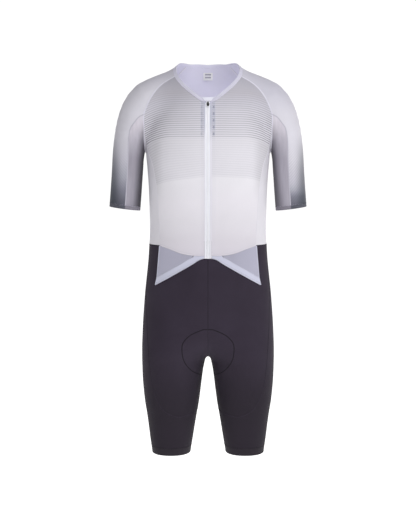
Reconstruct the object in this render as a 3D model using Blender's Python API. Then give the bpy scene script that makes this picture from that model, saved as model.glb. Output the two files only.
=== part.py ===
"""A cycling skinsuit filled out as on a wearer, in metres, +Z up, its front facing -Y.

The origin is the middle of the shoulder line. One smooth form of the filled suit is worked out from two
short tables, the trunk with its legs and the shoulder with its sleeve. Seams are lines on that form, and
each panel is a grid of points between its seams, given the thickness of its cloth. Pieces are worked out
for the wearer's left, at +X, and mirrored for the right.
"""

import math

import bpy
import numpy as np

CLOTH = 0.0015
SEAM_GAP = 0.0003

# Half of the suit's section at each height. Below the hips each leg has its own oval, and centre is the
# distance of that oval from the middle.
TRUNK_COLUMNS = ("height", "half_width", "centre", "front", "back")
TRUNK = (
    (0.060, 0.0500, 0.0000, -0.048, 0.056),
    (0.020, 0.0570, 0.0000, -0.056, 0.064),
    (0.000, 0.0630, 0.0000, -0.062, 0.070),
    (-0.030, 0.0770, 0.0000, -0.074, 0.082),
    (-0.060, 0.0970, 0.0000, -0.087, 0.093),
    (-0.090, 0.1180, 0.0000, -0.099, 0.101),
    (-0.130, 0.1400, 0.0000, -0.111, 0.108),
    (-0.190, 0.1590, 0.0000, -0.121, 0.113),
    (-0.230, 0.1590, 0.0000, -0.120, 0.111),
    (-0.260, 0.1565, 0.0000, -0.116, 0.107),
    (-0.320, 0.1525, 0.0000, -0.107, 0.098),
    (-0.370, 0.1510, 0.0000, -0.101, 0.091),
    (-0.420, 0.1500, 0.0000, -0.099, 0.087),
    (-0.463, 0.1520, 0.0000, -0.100, 0.089),
    (-0.500, 0.1546, 0.0000, -0.103, 0.095),
    (-0.550, 0.1600, 0.0000, -0.106, 0.108),
    (-0.580, 0.1635, 0.0000, -0.107, 0.117),
    (-0.620, 0.1670, 0.0085, -0.107, 0.125),
    (-0.660, 0.1700, 0.0300, -0.106, 0.129),
    (-0.700, 0.1720, 0.0560, -0.104, 0.127),
    (-0.730, 0.1730, 0.0775, -0.101, 0.120),
    (-0.745, 0.1730, 0.0860, -0.099, 0.115),
    (-0.757, 0.1730, 0.0905, -0.097, 0.111),
    (-0.778, 0.1725, 0.0928, -0.094, 0.105),
    (-0.810, 0.1714, 0.0945, -0.090, 0.097),
    (-0.842, 0.1690, 0.0951, -0.086, 0.090),
    (-0.874, 0.1655, 0.0953, -0.081, 0.083),
    (-0.906, 0.1605, 0.0953, -0.075, 0.077),
    (-0.938, 0.1563, 0.0958, -0.069, 0.071),
    (-0.971, 0.1524, 0.0964, -0.063, 0.065),
    (-1.003, 0.1480, 0.0968, -0.058, 0.060),
    (-1.040, 0.1450, 0.0973, -0.055, 0.057),
)
OVAL_POWER = 2.25
CROTCH_ROUND = 0.008

# The middle line and radius of the tube that is the shoulder and the sleeve.
SLEEVE_COLUMNS = ("across", "height", "radius")
SLEEVE = (
    (0.020, -0.040, 0.0480),
    (0.073, -0.062, 0.0500),
    (0.123, -0.084, 0.0530),
    (0.150, -0.099, 0.0550),
    (0.168, -0.119, 0.0530),
    (0.185, -0.155, 0.0495),
    (0.1990, -0.197, 0.0432),
    (0.2048, -0.228, 0.0408),
    (0.2078, -0.270, 0.0402),
    (0.2136, -0.3485, 0.0402),
    (0.2180, -0.4000, 0.0400),
)
SLEEVE_MIDDLE_Y = 0.004
SLEEVE_DEPTH = 1.15
SLEEVE_SPANS = 26

# How far the trunk and the sleeve melt into each other: softly at the shoulder, sharply at the armpit.
MELT_COLUMNS = ("height", "width")
MELT = ((-0.100, 0.040), (-0.150, 0.030), (-0.185, 0.016), (-0.205, 0.007), (-0.225, 0.003))

# The opening edge of the neck, from the middle of the front to the middle of the back.
NECK_COLUMNS = ("across", "depth", "height")
NECK = (
    (0.0000, -0.100, -0.0960),
    (0.0120, -0.099, -0.0930),
    (0.0280, -0.094, -0.0822),
    (0.0432, -0.085, -0.0696),
    (0.0586, -0.074, -0.0553),
    (0.0685, -0.064, -0.0440),
    (0.0740, -0.052, -0.0350),
    (0.0732, -0.036, -0.0278),
    (0.0697, -0.018, -0.0212),
    (0.0655, 0.000, -0.0155),
    (0.0603, 0.020, -0.0100),
    (0.0540, 0.038, -0.0055),
    (0.0440, 0.054, -0.0020),
    (0.0300, 0.063, 0.0005),
    (0.0150, 0.068, 0.0015),
    (0.0000, 0.070, 0.0018),
)
NECK_ROOT = (0.0, 0.0, -0.110)
NECKBAND_WIDTH = 0.009
NECKBAND_RAISE = 0.0004
NECKBAND_THICKNESS = 0.0020
NECKBAND_START = 0.0016
NECK_POINT_REACH = 0.002
RAGLAN_START_FRONT = 0.405
RAGLAN_START_BACK = 0.790

# Seams as they are seen from the front or the back: distance from the middle, and height.
RAGLAN_FRONT = ((0.1116, -0.0529), (0.1309, -0.0720), (0.1426, -0.0891), (0.1540, -0.1120))
RAGLAN_FRONT_LOW = ((0.1625, -0.1420), (0.1615, -0.1680))
SLEEVE_SEAM_TOP_FRONT = (0.1612, -0.1310)
SLEEVE_SEAM_FRONT = (
    (0.1730, -0.1370), (0.1860, -0.1520), (0.1950, -0.1640), (0.1996, -0.1800),
    (0.2020, -0.2040), (0.2030, -0.2400), (0.2060, -0.2950),
)
RAGLAN_BACK = ((0.0850, -0.0340), (0.1100, -0.0650), (0.1300, -0.0950), (0.1450, -0.1220))
RAGLAN_BACK_LOW = ((0.1600, -0.1600), (0.1610, -0.1780))
SLEEVE_SEAM_TOP_BACK = (0.1550, -0.1430)
SLEEVE_SEAM_BACK = (
    (0.1680, -0.1520), (0.1830, -0.1670), (0.1940, -0.1850), (0.2010, -0.2150),
    (0.2050, -0.2550), (0.2080, -0.3000),
)
UNDERARM_ACROSS = 0.1622
UNDERARM_HALF_DEPTH = 0.040
UNDERARM_SEARCH = -0.150
SIDE_SEAM_FRONT = (
    (0.1500, -0.2290), (0.1411, -0.2531), (0.1337, -0.2883), (0.1288, -0.3210), (0.1252, -0.3842),
)
SIDE_SEAM_BACK = ((0.1510, -0.2330), (0.1420, -0.2650), (0.1340, -0.3100), (0.1270, -0.3800))
WAIST = -0.4620
SIDE_SEAM_WAIST_FRONT = 0.1207
SIDE_SEAM_WAIST_BACK = 0.1210

# The lower edge of the front panel, and the mesh tail with its band that hang below it.
FRONT_HEM = ((0.0300, -0.4852), (0.0680, -0.4798), (0.0935, -0.4706))
ZIP_EDGE = 0.0093
ZIP_FOOT = -0.4850
TAIL_INNER_COLUMN = 2
TAIL_INNER_DROP = 0.0042
TAIL_EDGE = ((0.0420, -0.4903), (0.0680, -0.5056), (0.0987, -0.5235))
TAIL_CORNER = (0.1273, -0.5420)
TAIL_POINT = (0.1321, -0.5621)
BAND_FOOT = ((0.0200, -0.4950), (0.0370, -0.5056), (0.0630, -0.5210), (0.0937, -0.5392))
BAND_MIDDLE = (ZIP_EDGE, -0.4920)
# The front lies over the shorts there, and so stands off the form.
OVERLAP = 0.0023
OVERLAP_START = -0.425

# The front edge of the leg panel, as a turn round the leg from its front: 90 degrees is its outer side.
LEG_SEAM_COLUMNS = ("height", "turn")
LEG_SEAM = (
    (-0.4626, 84.0),
    (-0.540, 79.0),
    (-0.620, 70.0),
    (-0.700, 57.0),
    (-0.746, 47.0),
    (-0.781, 42.0),
    (-0.826, 36.0),
    (-0.866, 24.0),
    (-0.888, 11.0),
    (-0.897, 0.0),
)
LEG_BAND_TOP = ((-0.9025, -12.0), (-0.9010, -30.0), (-0.8980, -50.0), (-0.8950, -90.0))
LEG_HEM_TOP = -0.9893
LEG_END = -1.0090
# About the length on the leg of one degree of its turn, for spacing points along a seam.
LEG_DEGREE = 0.0014
CROTCH_SEARCH = (-0.70, -0.80)

HEM_MIDDLE = (0.2150, -0.3705)
HEM_SLOPE = 0.135
CUFF_HEIGHT = 0.010
CUFF_SEAM_TURN = 94.0
UNDER_START = np.array((0.1900, -0.150))
UNDER_END = np.array((0.2150, -0.372))

# How many steps each seam is divided into. Pieces that meet at a seam share its points.
SHOULDER_STEPS = 6
ARMPIT_STEPS = 4
UNDERARM_STEPS = 8
SIDE_STEPS = 9
SLEEVE_STEPS = 9
SLEEVE_COLUMNS_ROUND = 12
FRONT_STEPS = 8
BACK_STEPS = 7
SEAT_STEPS = 12
INSEAM_STEPS = 4
SHORTS_STEPS = 9
LEG_STRIP_STEPS = 10
LEG_BAND_ROWS = 3
TAIL_ROWS = 6
ZIP_ROWS = 16
SEAT_PAD_ROWS = 16
SEAT_PAD_HALF_COLUMNS = 5

SEAT_PAD_COLUMNS = ("along", "half_width")
SEAT_PAD = (
    (0.00, 0.012), (0.03, 0.035), (0.09, 0.060), (0.18, 0.069), (0.30, 0.064), (0.42, 0.054),
    (0.52, 0.052), (0.64, 0.064), (0.78, 0.080), (0.90, 0.078), (0.97, 0.058), (1.00, 0.025),
)
SEAT_PAD_FRONT = -0.671
SEAT_PAD_BACK = -0.690
SEAT_PAD_THICKNESS = 0.006
SEAT_PAD_EDGE = 0.0016
SEAT_PAD_CLEARANCE = 0.0022

LABEL_SIZE = (0.025, 0.019)
LABEL_HEIGHT = -0.026
LABEL_THICKNESS = 0.0008
LABEL_CLEARANCE = 0.0008

ZIP_COIL_HALF = 0.0029
ZIP_COIL_THICKNESS = 0.0020
ZIP_COIL_RAISE = 0.0008
ZIP_TAPE_INNER = 0.0032
ZIP_TAPE_THICKNESS = 0.0012
TAPE_START = 0.0012
GARAGE_COLUMNS = ("height", "half_width")
GARAGE = ((-0.0915, 0.0145), (-0.0960, 0.0110), (-0.1008, 0.0078))
GARAGE_THICKNESS = 0.0010
GARAGE_RAISE = 0.0019

# The slider is measured across, out from the coil and up. Its two ears hold a pin that lies across.
SLIDER_HEIGHT = -0.1072
SLIDER_SIZE = (0.0080, 0.0022, 0.0110)
EAR_INSIDE = 0.0021
EAR_OUTSIDE = 0.0031
EAR_HALF_HEIGHT = 0.0014
EAR_PAST_PIN = 0.0011
EAR_ROOT = 0.0004
PIN_STAND_OFF = 0.0019
PIN_BELOW_TOP = 0.0030
PIN_RADIUS = 0.0006
PIN_HALF_LENGTH = 0.0026

# The pull tab: a barrel round the pin, and a flat plate that hangs from it.
BARREL_RADIUS = 0.0015
BARREL_HALF_LENGTH = 0.0017
PULL_HOLE_RADIUS = 0.00068
PULL_HOLE_HALF_LENGTH = 0.0030
PULL_HALF_THICKNESS = 0.0006
PULL_COLUMNS = ("down", "half_width")
PULL = ((0.0008, 0.0016), (0.0020, 0.0016), (0.0031, 0.0034), (0.0066, 0.0032), (0.0105, 0.0021))

# How a straight line is followed to where it leaves the form.
STRIDES = 60
STRIDE_SHARE = 0.7
SHORTEST_STRIDE = 0.001
HALVINGS = 16
SLOPE_STEP = 0.0008


def column(table, names, wanted):
    return np.array([row[names.index(wanted)] for row in table])


def smooth(at, knots, values):
    """A smooth line through a table's values: cubic pieces whose slopes come from the neighbouring rows."""
    order = np.argsort(knots)
    knots, values = knots[order], values[order]
    slopes = np.gradient(values, knots)
    row = np.clip(np.searchsorted(knots, at) - 1, 0, len(knots) - 2)
    span = knots[row + 1] - knots[row]
    part = np.clip((at - knots[row]) / span, 0, 1)
    ease = part * part * (3 - 2 * part)
    bend = slopes[row] * part * (1 - part) ** 2 - slopes[row + 1] * part**2 * (1 - part)
    return values[row] * (1 - ease) + values[row + 1] * ease + span * bend


def lengths(points):
    """The distance along a line of points, from its first."""
    steps = np.linalg.norm(np.diff(points, axis=0), axis=1)
    return np.concatenate([[0.0], np.cumsum(steps)])


def spaced(points, steps):
    """A smooth line through the points, divided into equal steps."""
    points = np.asarray(points, float)
    along = lengths(points)
    fine = np.linspace(0, along[-1], 40 * len(points))
    line = np.stack([smooth(fine, along, points[:, axis]) for axis in range(points.shape[1])], axis=1)
    reach = lengths(line)
    at = np.linspace(0, reach[-1], steps + 1)
    return np.stack([np.interp(at, reach, line[:, axis]) for axis in range(points.shape[1])], axis=1)


TRUNK_AT = {name: column(TRUNK, TRUNK_COLUMNS, name) for name in TRUNK_COLUMNS}
MELT_AT = {name: column(MELT, MELT_COLUMNS, name) for name in MELT_COLUMNS}
SLEEVE_LINE = spaced(SLEEVE, SLEEVE_SPANS)


def section(height):
    """The oval at a height: its middle from the suit's middle, its half width, its middle y and half depth."""
    half_width, centre, front, back = (
        smooth(height, TRUNK_AT["height"], TRUNK_AT[name]) for name in TRUNK_COLUMNS[1:]
    )
    return centre, half_width - centre, (front + back) / 2, (back - front) / 2


def trunk_field(points):
    """Below zero inside the trunk and legs, above zero outside, about the distance in metres."""
    centre, half, middle, depth = section(points[..., 2])
    across = np.abs(np.hypot(points[..., 0], CROTCH_ROUND) - centre) / half
    along = np.abs(points[..., 1] - middle) / depth
    return ((across**OVAL_POWER + along**OVAL_POWER) ** (1 / OVAL_POWER) - 1) * np.minimum(half, depth)


def sleeve_field(points):
    """The distance to the shoulder and sleeve tube, the least over its short cones, with y squeezed."""
    flat = np.stack([np.abs(points[..., 0]), points[..., 2]], axis=-1)[..., None, :]
    rise = ((points[..., 1] - SLEEVE_MIDDLE_Y) / SLEEVE_DEPTH)[..., None]
    start, end = SLEEVE_LINE[:-1], SLEEVE_LINE[1:]
    run = end[:, :2] - start[:, :2]
    part = np.clip(((flat - start[:, :2]) * run).sum(axis=-1) / (run**2).sum(axis=-1), 0, 1)
    off = flat - start[:, :2] - part[..., None] * run
    radius = start[:, 2] + part * (end[:, 2] - start[:, 2])
    return (np.sqrt((off**2).sum(axis=-1) + rise**2) - radius).min(axis=-1)


def form(points):
    """The whole filled suit: the trunk and the sleeves, melted together."""
    trunk = trunk_field(points)
    sleeve = sleeve_field(points)
    melt = smooth(points[..., 2], MELT_AT["height"], MELT_AT["width"])
    share = np.clip(0.5 + 0.5 * (sleeve - trunk) / melt, 0, 1)
    return sleeve + (trunk - sleeve) * share - melt * share * (1 - share)


def meet(inside, toward):
    """Where straight lines from inside the form first leave it, by strides and then by halving."""
    inside, toward = np.broadcast_arrays(np.asarray(inside, float), np.asarray(toward, float))
    ray = toward - inside
    ray = ray / np.linalg.norm(ray, axis=-1, keepdims=True)
    last = np.zeros(inside.shape[:-1])
    reach = np.zeros(inside.shape[:-1])
    for _ in range(STRIDES):
        field = form(inside + reach[..., None] * ray)
        within = field < 0
        last = np.where(within, reach, last)
        reach = np.where(within, reach + np.maximum(-STRIDE_SHARE * field, SHORTEST_STRIDE), reach)
    for _ in range(HALVINGS):
        part = (last + reach) / 2
        within = form(inside + part[..., None] * ray) < 0
        last = np.where(within, part, last)
        reach = np.where(within, reach, part)
    return inside + part[..., None] * ray


def outward(points):
    """The direction straight out of the form at each point."""
    slope = np.stack([form(points + axis) - form(points - axis) for axis in SLOPE_STEP * np.eye(3)], axis=-1)
    return slope / np.linalg.norm(slope, axis=-1, keepdims=True)


def settle(points):
    """Points near the form, moved straight onto it."""
    for _ in range(6):
        points = points - form(points)[..., None] * outward(points)
    return points


def seen(flat, side):
    """Points given by distance from the middle and height, put on the front (side -1) or the back (+1)."""
    flat = np.asarray(flat, float)
    inside = np.stack([flat[:, 0], np.zeros(len(flat)), flat[:, 1]], axis=1)
    return meet(inside, inside + (0, side, 0))


def coons(top, bottom, start, end):
    """A grid between four edges, rows from top to bottom: both blends of opposite edges, less the corners."""
    down = np.linspace(0, 1, len(start))[:, None, None]
    over = np.linspace(0, 1, len(top))[None, :, None]
    from_rows = (1 - down) * top[None] + down * bottom[None]
    from_columns = (1 - over) * start[:, None] + over * end[:, None]
    top_corners = (1 - over) * top[0] + over * top[-1]
    bottom_corners = (1 - over) * bottom[0] + over * bottom[-1]
    return from_rows + from_columns - (1 - down) * top_corners - down * bottom_corners


def with_edges(grid, top, bottom, start, end):
    """The grid, its four edges exactly on the seams."""
    grid[0], grid[-1], grid[:, 0], grid[:, -1] = top, bottom, start, end
    return grid


def turned(points):
    """Points round the trunk as a turn from the front and a height."""
    return np.stack([np.arctan2(points[..., 0], -points[..., 1]), points[..., 2]], axis=-1)


def round_trunk(top, bottom, start, end):
    """A panel on the trunk between four seams: a grid of turns and heights, cast out from the middle line."""
    grid = coons(*[turned(edge) for edge in (top, bottom, start, end)])
    height = grid[..., 1]
    still = np.zeros_like(height)
    ray = np.stack([np.sin(grid[..., 0]), -np.cos(grid[..., 0]), still], axis=-1)
    inside = np.stack([still, still, height], axis=-1)
    return with_edges(meet(inside, inside + ray), top, bottom, start, end)


SLEEVE_FINE = spaced(SLEEVE_LINE[:, :2], 1500)
SLEEVE_ALONG = lengths(SLEEVE_FINE)
SLEEVE_RUN = np.gradient(SLEEVE_FINE, axis=0)
SLEEVE_RUN /= np.linalg.norm(SLEEVE_RUN, axis=1, keepdims=True)
SLEEVE_OUT = np.stack([-SLEEVE_RUN[:, 1], SLEEVE_RUN[:, 0]], axis=1)


def round_sleeve(top, bottom, start, end):
    """The upper sleeve: a grid of distances along the bent middle line and turns round it, cast outwards."""
    def turned_points(points):
        flat = points[:, [0, 2]]
        near = np.argmin(np.linalg.norm(flat[:, None] - SLEEVE_FINE[None], axis=2), axis=1)
        out = ((flat - SLEEVE_FINE[near]) * SLEEVE_OUT[near]).sum(axis=1)
        return np.stack([SLEEVE_ALONG[near], np.arctan2(SLEEVE_MIDDLE_Y - points[:, 1], out)], axis=1)

    grid = coons(*[turned_points(edge) for edge in (top, bottom, start, end)])
    along, turn = grid[..., 0], grid[..., 1]
    middle = np.stack([np.interp(along, SLEEVE_ALONG, SLEEVE_FINE[:, axis]) for axis in (0, 1)], axis=-1)
    out = np.stack([np.interp(along, SLEEVE_ALONG, SLEEVE_OUT[:, axis]) for axis in (0, 1)], axis=-1)
    return with_edges(cast_round(middle, out, turn), top, bottom, start, end)


def cast_round(middle, out, turn):
    """Rays from a sleeve's middle line, turned from its outer side (0) to its front (90 degrees)."""
    inside = np.stack([middle[..., 0], np.full_like(turn, SLEEVE_MIDDLE_Y), middle[..., 1]], axis=-1)
    ray = np.stack([np.cos(turn) * out[..., 0], -np.sin(turn), np.cos(turn) * out[..., 1]], axis=-1)
    return meet(inside, inside + ray)


def round_undersleeve(top, bottom, start, end):
    """The inner sleeve: as the upper one, round a straight middle line, turning by way of the body side."""
    length = np.linalg.norm(UNDER_END - UNDER_START)
    run = (UNDER_END - UNDER_START) / length
    out = np.array((-run[1], run[0]))

    def turned_points(points):
        flat = points[:, [0, 2]] - UNDER_START
        turn = np.arctan2(SLEEVE_MIDDLE_Y - points[:, 1], flat @ out)
        return np.stack([flat @ run, np.where(turn < 0, turn + 2 * math.pi, turn)], axis=1)

    grid = coons(*[turned_points(edge) for edge in (top, bottom, start, end)])
    middle = UNDER_START + grid[..., :1] * run
    cast = cast_round(middle, np.broadcast_to(out, middle.shape), grid[..., 1])
    return with_edges(cast, top, bottom, start, end)


def cuff_ring(up, turns):
    """Points of the sleeve in the slanting plane of its hem, moved up the sleeve."""
    slant = math.hypot(1, HEM_SLOPE)
    middle = np.array((HEM_MIDDLE[0] - up * HEM_SLOPE / slant, HEM_MIDDLE[1] + up / slant))
    out = np.array((1, HEM_SLOPE)) / slant
    turns = np.radians(turns)
    flat = np.broadcast_to(middle, (len(turns), 2))
    return cast_round(flat, np.broadcast_to(out, flat.shape), turns)


def trunk_point(turn, height):
    """The point of the leg and hip form at a turn in degrees from the leg's front, outer side at 90."""
    centre, half, middle, depth = section(height)
    turn = np.radians(turn)
    power = 2 / OVAL_POWER
    across = centre + half * np.sign(np.sin(turn)) * np.abs(np.sin(turn)) ** power
    along = middle - depth * np.sign(np.cos(turn)) * np.abs(np.cos(turn)) ** power
    x = np.sqrt(np.maximum(across**2 - CROTCH_ROUND**2, 0))
    return np.stack([x, along, np.broadcast_to(height, x.shape)], axis=-1)


def middle_turn(height):
    """The turn at which the leg's oval reaches the suit's middle, down to -90 below the crotch."""
    centre, half, _, _ = section(height)
    reach = np.clip((CROTCH_ROUND - centre) / half, -1, 1)
    return np.degrees(np.arcsin(np.sign(reach) * np.abs(reach) ** (OVAL_POWER / 2)))


def crotch_height():
    """Where the legs part: the oval's inner edge is as far out as the rounding."""
    heights = np.linspace(*CROTCH_SEARCH, 4001)
    centre, half, _, _ = section(heights)
    return heights[np.argmax(centre - half > CROTCH_ROUND)]


def quads_of(rows, columns):
    """The four-sided faces of a grid of points, row after row."""
    first = (np.arange(rows - 1)[:, None] * columns + np.arange(columns - 1)).reshape(-1)
    return np.stack([first, first + 1, first + columns + 1, first + columns], axis=1)


def rim_of(faces):
    """The edges with one face only, each in that face's direction."""
    sides = faces.shape[1]
    ends = np.concatenate([faces[:, [side, (side + 1) % sides]] for side in range(sides)])
    _, index, count = np.unique(np.sort(ends, axis=1), axis=0, return_inverse=True, return_counts=True)
    return ends[count[index.reshape(-1)] == 1]


def drawn_in(points, out, rim, inset):
    """The points, those of the rim moved into the piece by inset, square to both of their rim edges."""
    inward = np.cross(out[rim[:, 0]] + out[rim[:, 1]], points[rim[:, 1]] - points[rim[:, 0]])
    inward /= np.linalg.norm(inward, axis=1, keepdims=True)
    total = np.zeros_like(points)
    np.add.at(total, rim[:, 0], inward)
    np.add.at(total, rim[:, 1], inward)
    square = (total**2).sum(axis=1, keepdims=True)
    return points + inset * 2 * total / np.maximum(square, 1.0)


def material(name, colour, roughness, metallic=0.0):
    """One plain finish, made once for each name."""
    if name in bpy.data.materials:
        return bpy.data.materials[name]
    made = bpy.data.materials.new(name)
    made.use_nodes = True
    shader = made.node_tree.nodes["Principled BSDF"]
    shader.inputs["Base Color"].default_value = (*colour, 1.0)
    shader.inputs["Roughness"].default_value = roughness
    shader.inputs["Metallic"].default_value = metallic
    return made


def add_object(name, points, faces, finish):
    """A mesh object of its own from an array of points and a list of faces."""
    mesh = bpy.data.meshes.new(name)
    mesh.from_pydata(points.tolist(), [], faces)
    mesh.update()
    mesh.shade_smooth()
    mesh.set_sharp_from_angle(angle=math.radians(40))
    made = bpy.data.objects.new(name, mesh)
    made.data.materials.append(finish)
    bpy.context.scene.collection.objects.link(made)
    return made


def wall(name, points, faces, finish, thickness=CLOTH, raised=0.0):
    """A closed wall of cloth: the points raised off the form, drawn in at the rim, and given a thickness."""
    points = points.reshape(-1, 3)
    out = outward(points)
    faces = np.concatenate([faces[:, [0, 1, 2]], faces[:, [0, 2, 3]]])
    corners = points[faces]
    facing = np.cross(corners[:, 1] - corners[:, 0], corners[:, 2] - corners[:, 0])
    if (facing * out[faces].mean(axis=1)).sum() < 0:
        faces = faces[:, ::-1]
    rim = rim_of(faces)
    placed = drawn_in(points, out, rim, SEAM_GAP / 2)
    outer = placed + out * np.reshape(raised, (-1, 1))
    inner = outer - out * np.reshape(thickness, (-1, 1))
    count = len(points)
    # Each end face is split from its higher outer corner, so that two pieces split a shared seam alike.
    first, last = rim.T
    level = points @ np.array((0.0, 0.01, 1.0))
    falling = level[first] > level[last]
    first_in, last_in = first + count, last + count
    upper = np.stack([last, first, np.where(falling, last_in, first_in)], axis=1)
    lower = np.stack([np.where(falling, first, last), first_in, last_in], axis=1)
    faces = np.concatenate([faces, faces[:, ::-1] + count, upper, lower])
    return add_object(name, np.concatenate([outer, inner]), faces.tolist(), finish)


def overlap(points):
    """How far the front stands off where it lies over the shorts."""
    part = np.clip((OVERLAP_START - points[..., 2]) / (OVERLAP_START - WAIST), 0, 1)
    return (OVERLAP * part * part * (3 - 2 * part)).reshape(-1)


def both_sides(name, grid, finish, **ways):
    """The piece for the wearer's left, and its mirror image for the right."""
    faces = quads_of(*grid.shape[:2])
    wall(name + "_left", grid, faces, finish, **ways)
    wall(name + "_right", grid * (-1, 1, 1), faces, finish, **ways)


def neck_lines():
    """The neck opening's edge, and the lower edge of its band, from the front middle to the back middle."""
    root = np.array(NECK_ROOT)
    edge = spaced(NECK, 240)
    edge = meet(root, edge)
    along = np.gradient(edge, axis=0)
    along[-1] *= (1, 0, 0)
    away = np.cross(outward(edge), along)
    away /= np.linalg.norm(away, axis=1, keepdims=True)
    foot = settle(edge - NECKBAND_WIDTH * away)
    foot[-1, 0] = 0
    # The two ends of the band meet in a point at the front, so its lower edge starts straight below that.
    past = np.argmax(foot[:, 0] > NECK_POINT_REACH)
    foot, edge = foot[past:], edge[past:]
    slope = (foot[8] - foot[0]) / (foot[8, 0] - foot[0, 0])
    point = settle(foot[:1] - foot[0, 0] * slope)
    foot = np.concatenate([point, foot])
    edge = np.concatenate([meet(root, np.array(NECK[:1], float)), edge])

    share = lengths(foot) / lengths(foot)[-1]
    zip_share = np.interp(ZIP_EDGE, foot[:40, 0], share[:40])
    shares = np.concatenate([
        [0.0],
        np.linspace(zip_share, RAGLAN_START_FRONT, FRONT_STEPS + 1),
        np.linspace(RAGLAN_START_FRONT, RAGLAN_START_BACK, SLEEVE_COLUMNS_ROUND + 1)[1:],
        np.linspace(RAGLAN_START_BACK, 1, BACK_STEPS + 1)[1:],
    ])
    picked = [
        settle(np.stack([np.interp(shares, share, line[:, axis]) for axis in range(3)], axis=1))
        for line in (edge, foot)
    ]
    for line in picked:
        line[[0, -1], 0] = 0
    return picked


def main_seams(foot):
    """Every seam of the upper half, on the wearer's left, by name."""
    front_corner = foot[FRONT_STEPS + 1]
    back_corner = foot[FRONT_STEPS + 1 + SLEEVE_COLUMNS_ROUND]
    depths = np.linspace(-UNDERARM_HALF_DEPTH, UNDERARM_HALF_DEPTH, UNDERARM_STEPS + 1)
    still = np.ones_like(depths)
    top = np.stack([UNDERARM_ACROSS * still, depths, UNDERARM_SEARCH * still], axis=1)
    underarm = meet(top, top - (0, 0, 1))
    seams = {"underarm": underarm}
    shoulder = (
        ("front", -1, front_corner, RAGLAN_FRONT, SLEEVE_SEAM_TOP_FRONT, RAGLAN_FRONT_LOW, SLEEVE_SEAM_FRONT,
         SIDE_SEAM_FRONT, SIDE_SEAM_WAIST_FRONT, underarm[0]),
        ("back", 1, back_corner, RAGLAN_BACK, SLEEVE_SEAM_TOP_BACK, RAGLAN_BACK_LOW, SLEEVE_SEAM_BACK,
         SIDE_SEAM_BACK, SIDE_SEAM_WAIST_BACK, underarm[-1]),
    )
    for name, side, corner, raglan, junction, low, sleeve, flank, waist, armpit in shoulder:
        start, pit = corner[[0, 2]], armpit[[0, 2]]
        upper = seen(spaced([start, *raglan, junction], SHOULDER_STEPS), side)
        upper[0] = corner
        lower = seen(spaced([junction, *low, pit], ARMPIT_STEPS), side)
        lower[0], lower[-1] = upper[-1], armpit
        cuff = cuff_ring(CUFF_HEIGHT, np.array([-side * CUFF_SEAM_TURN]))[0]
        arm = seen(spaced([junction, *sleeve, cuff[[0, 2]]], SLEEVE_STEPS), side)
        arm[0], arm[-1] = upper[-1], cuff
        down = seen(spaced([pit, *flank, (waist, WAIST)], SIDE_STEPS), side)
        down[0] = armpit
        seams["raglan_" + name] = upper
        seams["armpit_" + name] = lower
        seams["sleeve_" + name] = arm
        seams["side_" + name] = down
    return seams


def front_panel(foot, seams):
    """The front panel's grid, from the zip to the raglan and side seams."""
    end = np.concatenate([seams["raglan_front"], seams["armpit_front"][1:], seams["side_front"][1:]])
    top = foot[1 : FRONT_STEPS + 2]
    hem = [(ZIP_EDGE, ZIP_FOOT), *FRONT_HEM, (SIDE_SEAM_WAIST_FRONT, WAIST)]
    bottom = seen(spaced(hem, FRONT_STEPS), -1)
    share = lengths(end) / lengths(end)[-1]
    heights = top[0, 2] + share * (ZIP_FOOT - top[0, 2])
    start = seen(np.stack([np.full_like(heights, ZIP_EDGE), heights], axis=1), -1)
    start[0], start[-1], bottom[-1] = top[0], bottom[0], end[-1]
    return round_trunk(top, bottom, start, end)


def back_panel(foot, seams):
    """Half of the back panel, from the back's middle to the raglan and side seams."""
    end = np.concatenate([seams["raglan_back"], seams["armpit_back"][1:], seams["side_back"][1:]])
    top = foot[: FRONT_STEPS + SLEEVE_COLUMNS_ROUND : -1]
    share = lengths(end) / lengths(end)[-1]
    heights = top[0, 2] + share * (WAIST - top[0, 2])
    start = seen(np.stack([np.zeros_like(heights), heights], axis=1), 1)
    across = np.linspace(0, SIDE_SEAM_WAIST_BACK, BACK_STEPS + 1)
    bottom = seen(np.stack([across, np.full_like(across, WAIST)], axis=1), 1)
    start[0], start[-1], bottom[-1] = top[0], bottom[0], end[-1]
    return round_trunk(top, bottom, start, end)


def side_panel(seams):
    """The side panel's grid, from the front side seam round to the back one."""
    start, end, top = seams["side_front"], seams["side_back"], seams["underarm"]
    turns = np.linspace(turned(start[-1])[0], turned(end[-1])[0], UNDERARM_STEPS + 1)
    middle = np.stack([np.zeros_like(turns), np.zeros_like(turns), np.full_like(turns, WAIST)], axis=1)
    ray = np.stack([np.sin(turns), -np.cos(turns), np.zeros_like(turns)], axis=1)
    bottom = meet(middle, middle + ray)
    bottom[0], bottom[-1] = start[-1], end[-1]
    return round_trunk(top, bottom, start, end)


def sleeve_panels(foot, seams):
    """The grids of the upper sleeve, the inner sleeve and the cuff."""
    around = UNDERARM_STEPS + 2 * ARMPIT_STEPS
    outer = np.linspace(CUFF_SEAM_TURN, -CUFF_SEAM_TURN, SLEEVE_COLUMNS_ROUND + 1)
    inner = np.linspace(CUFF_SEAM_TURN, 360 - CUFF_SEAM_TURN, around + 1)
    neck = foot[FRONT_STEPS + 1 : FRONT_STEPS + 2 + SLEEVE_COLUMNS_ROUND]
    upper = round_sleeve(
        neck,
        cuff_ring(CUFF_HEIGHT, outer),
        np.concatenate([seams["raglan_front"], seams["sleeve_front"][1:]]),
        np.concatenate([seams["raglan_back"], seams["sleeve_back"][1:]]),
    )
    armhole = np.concatenate([seams["armpit_front"], seams["underarm"][1:], seams["armpit_back"][-2::-1]])
    wrist = cuff_ring(CUFF_HEIGHT, inner)
    under = round_undersleeve(armhole, wrist, seams["sleeve_front"], seams["sleeve_back"])
    turns = np.concatenate([outer, inner[-2:0:-1] - 360])
    return upper, under, np.stack([cuff_ring(CUFF_HEIGHT, turns), cuff_ring(0.0, turns)])


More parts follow.
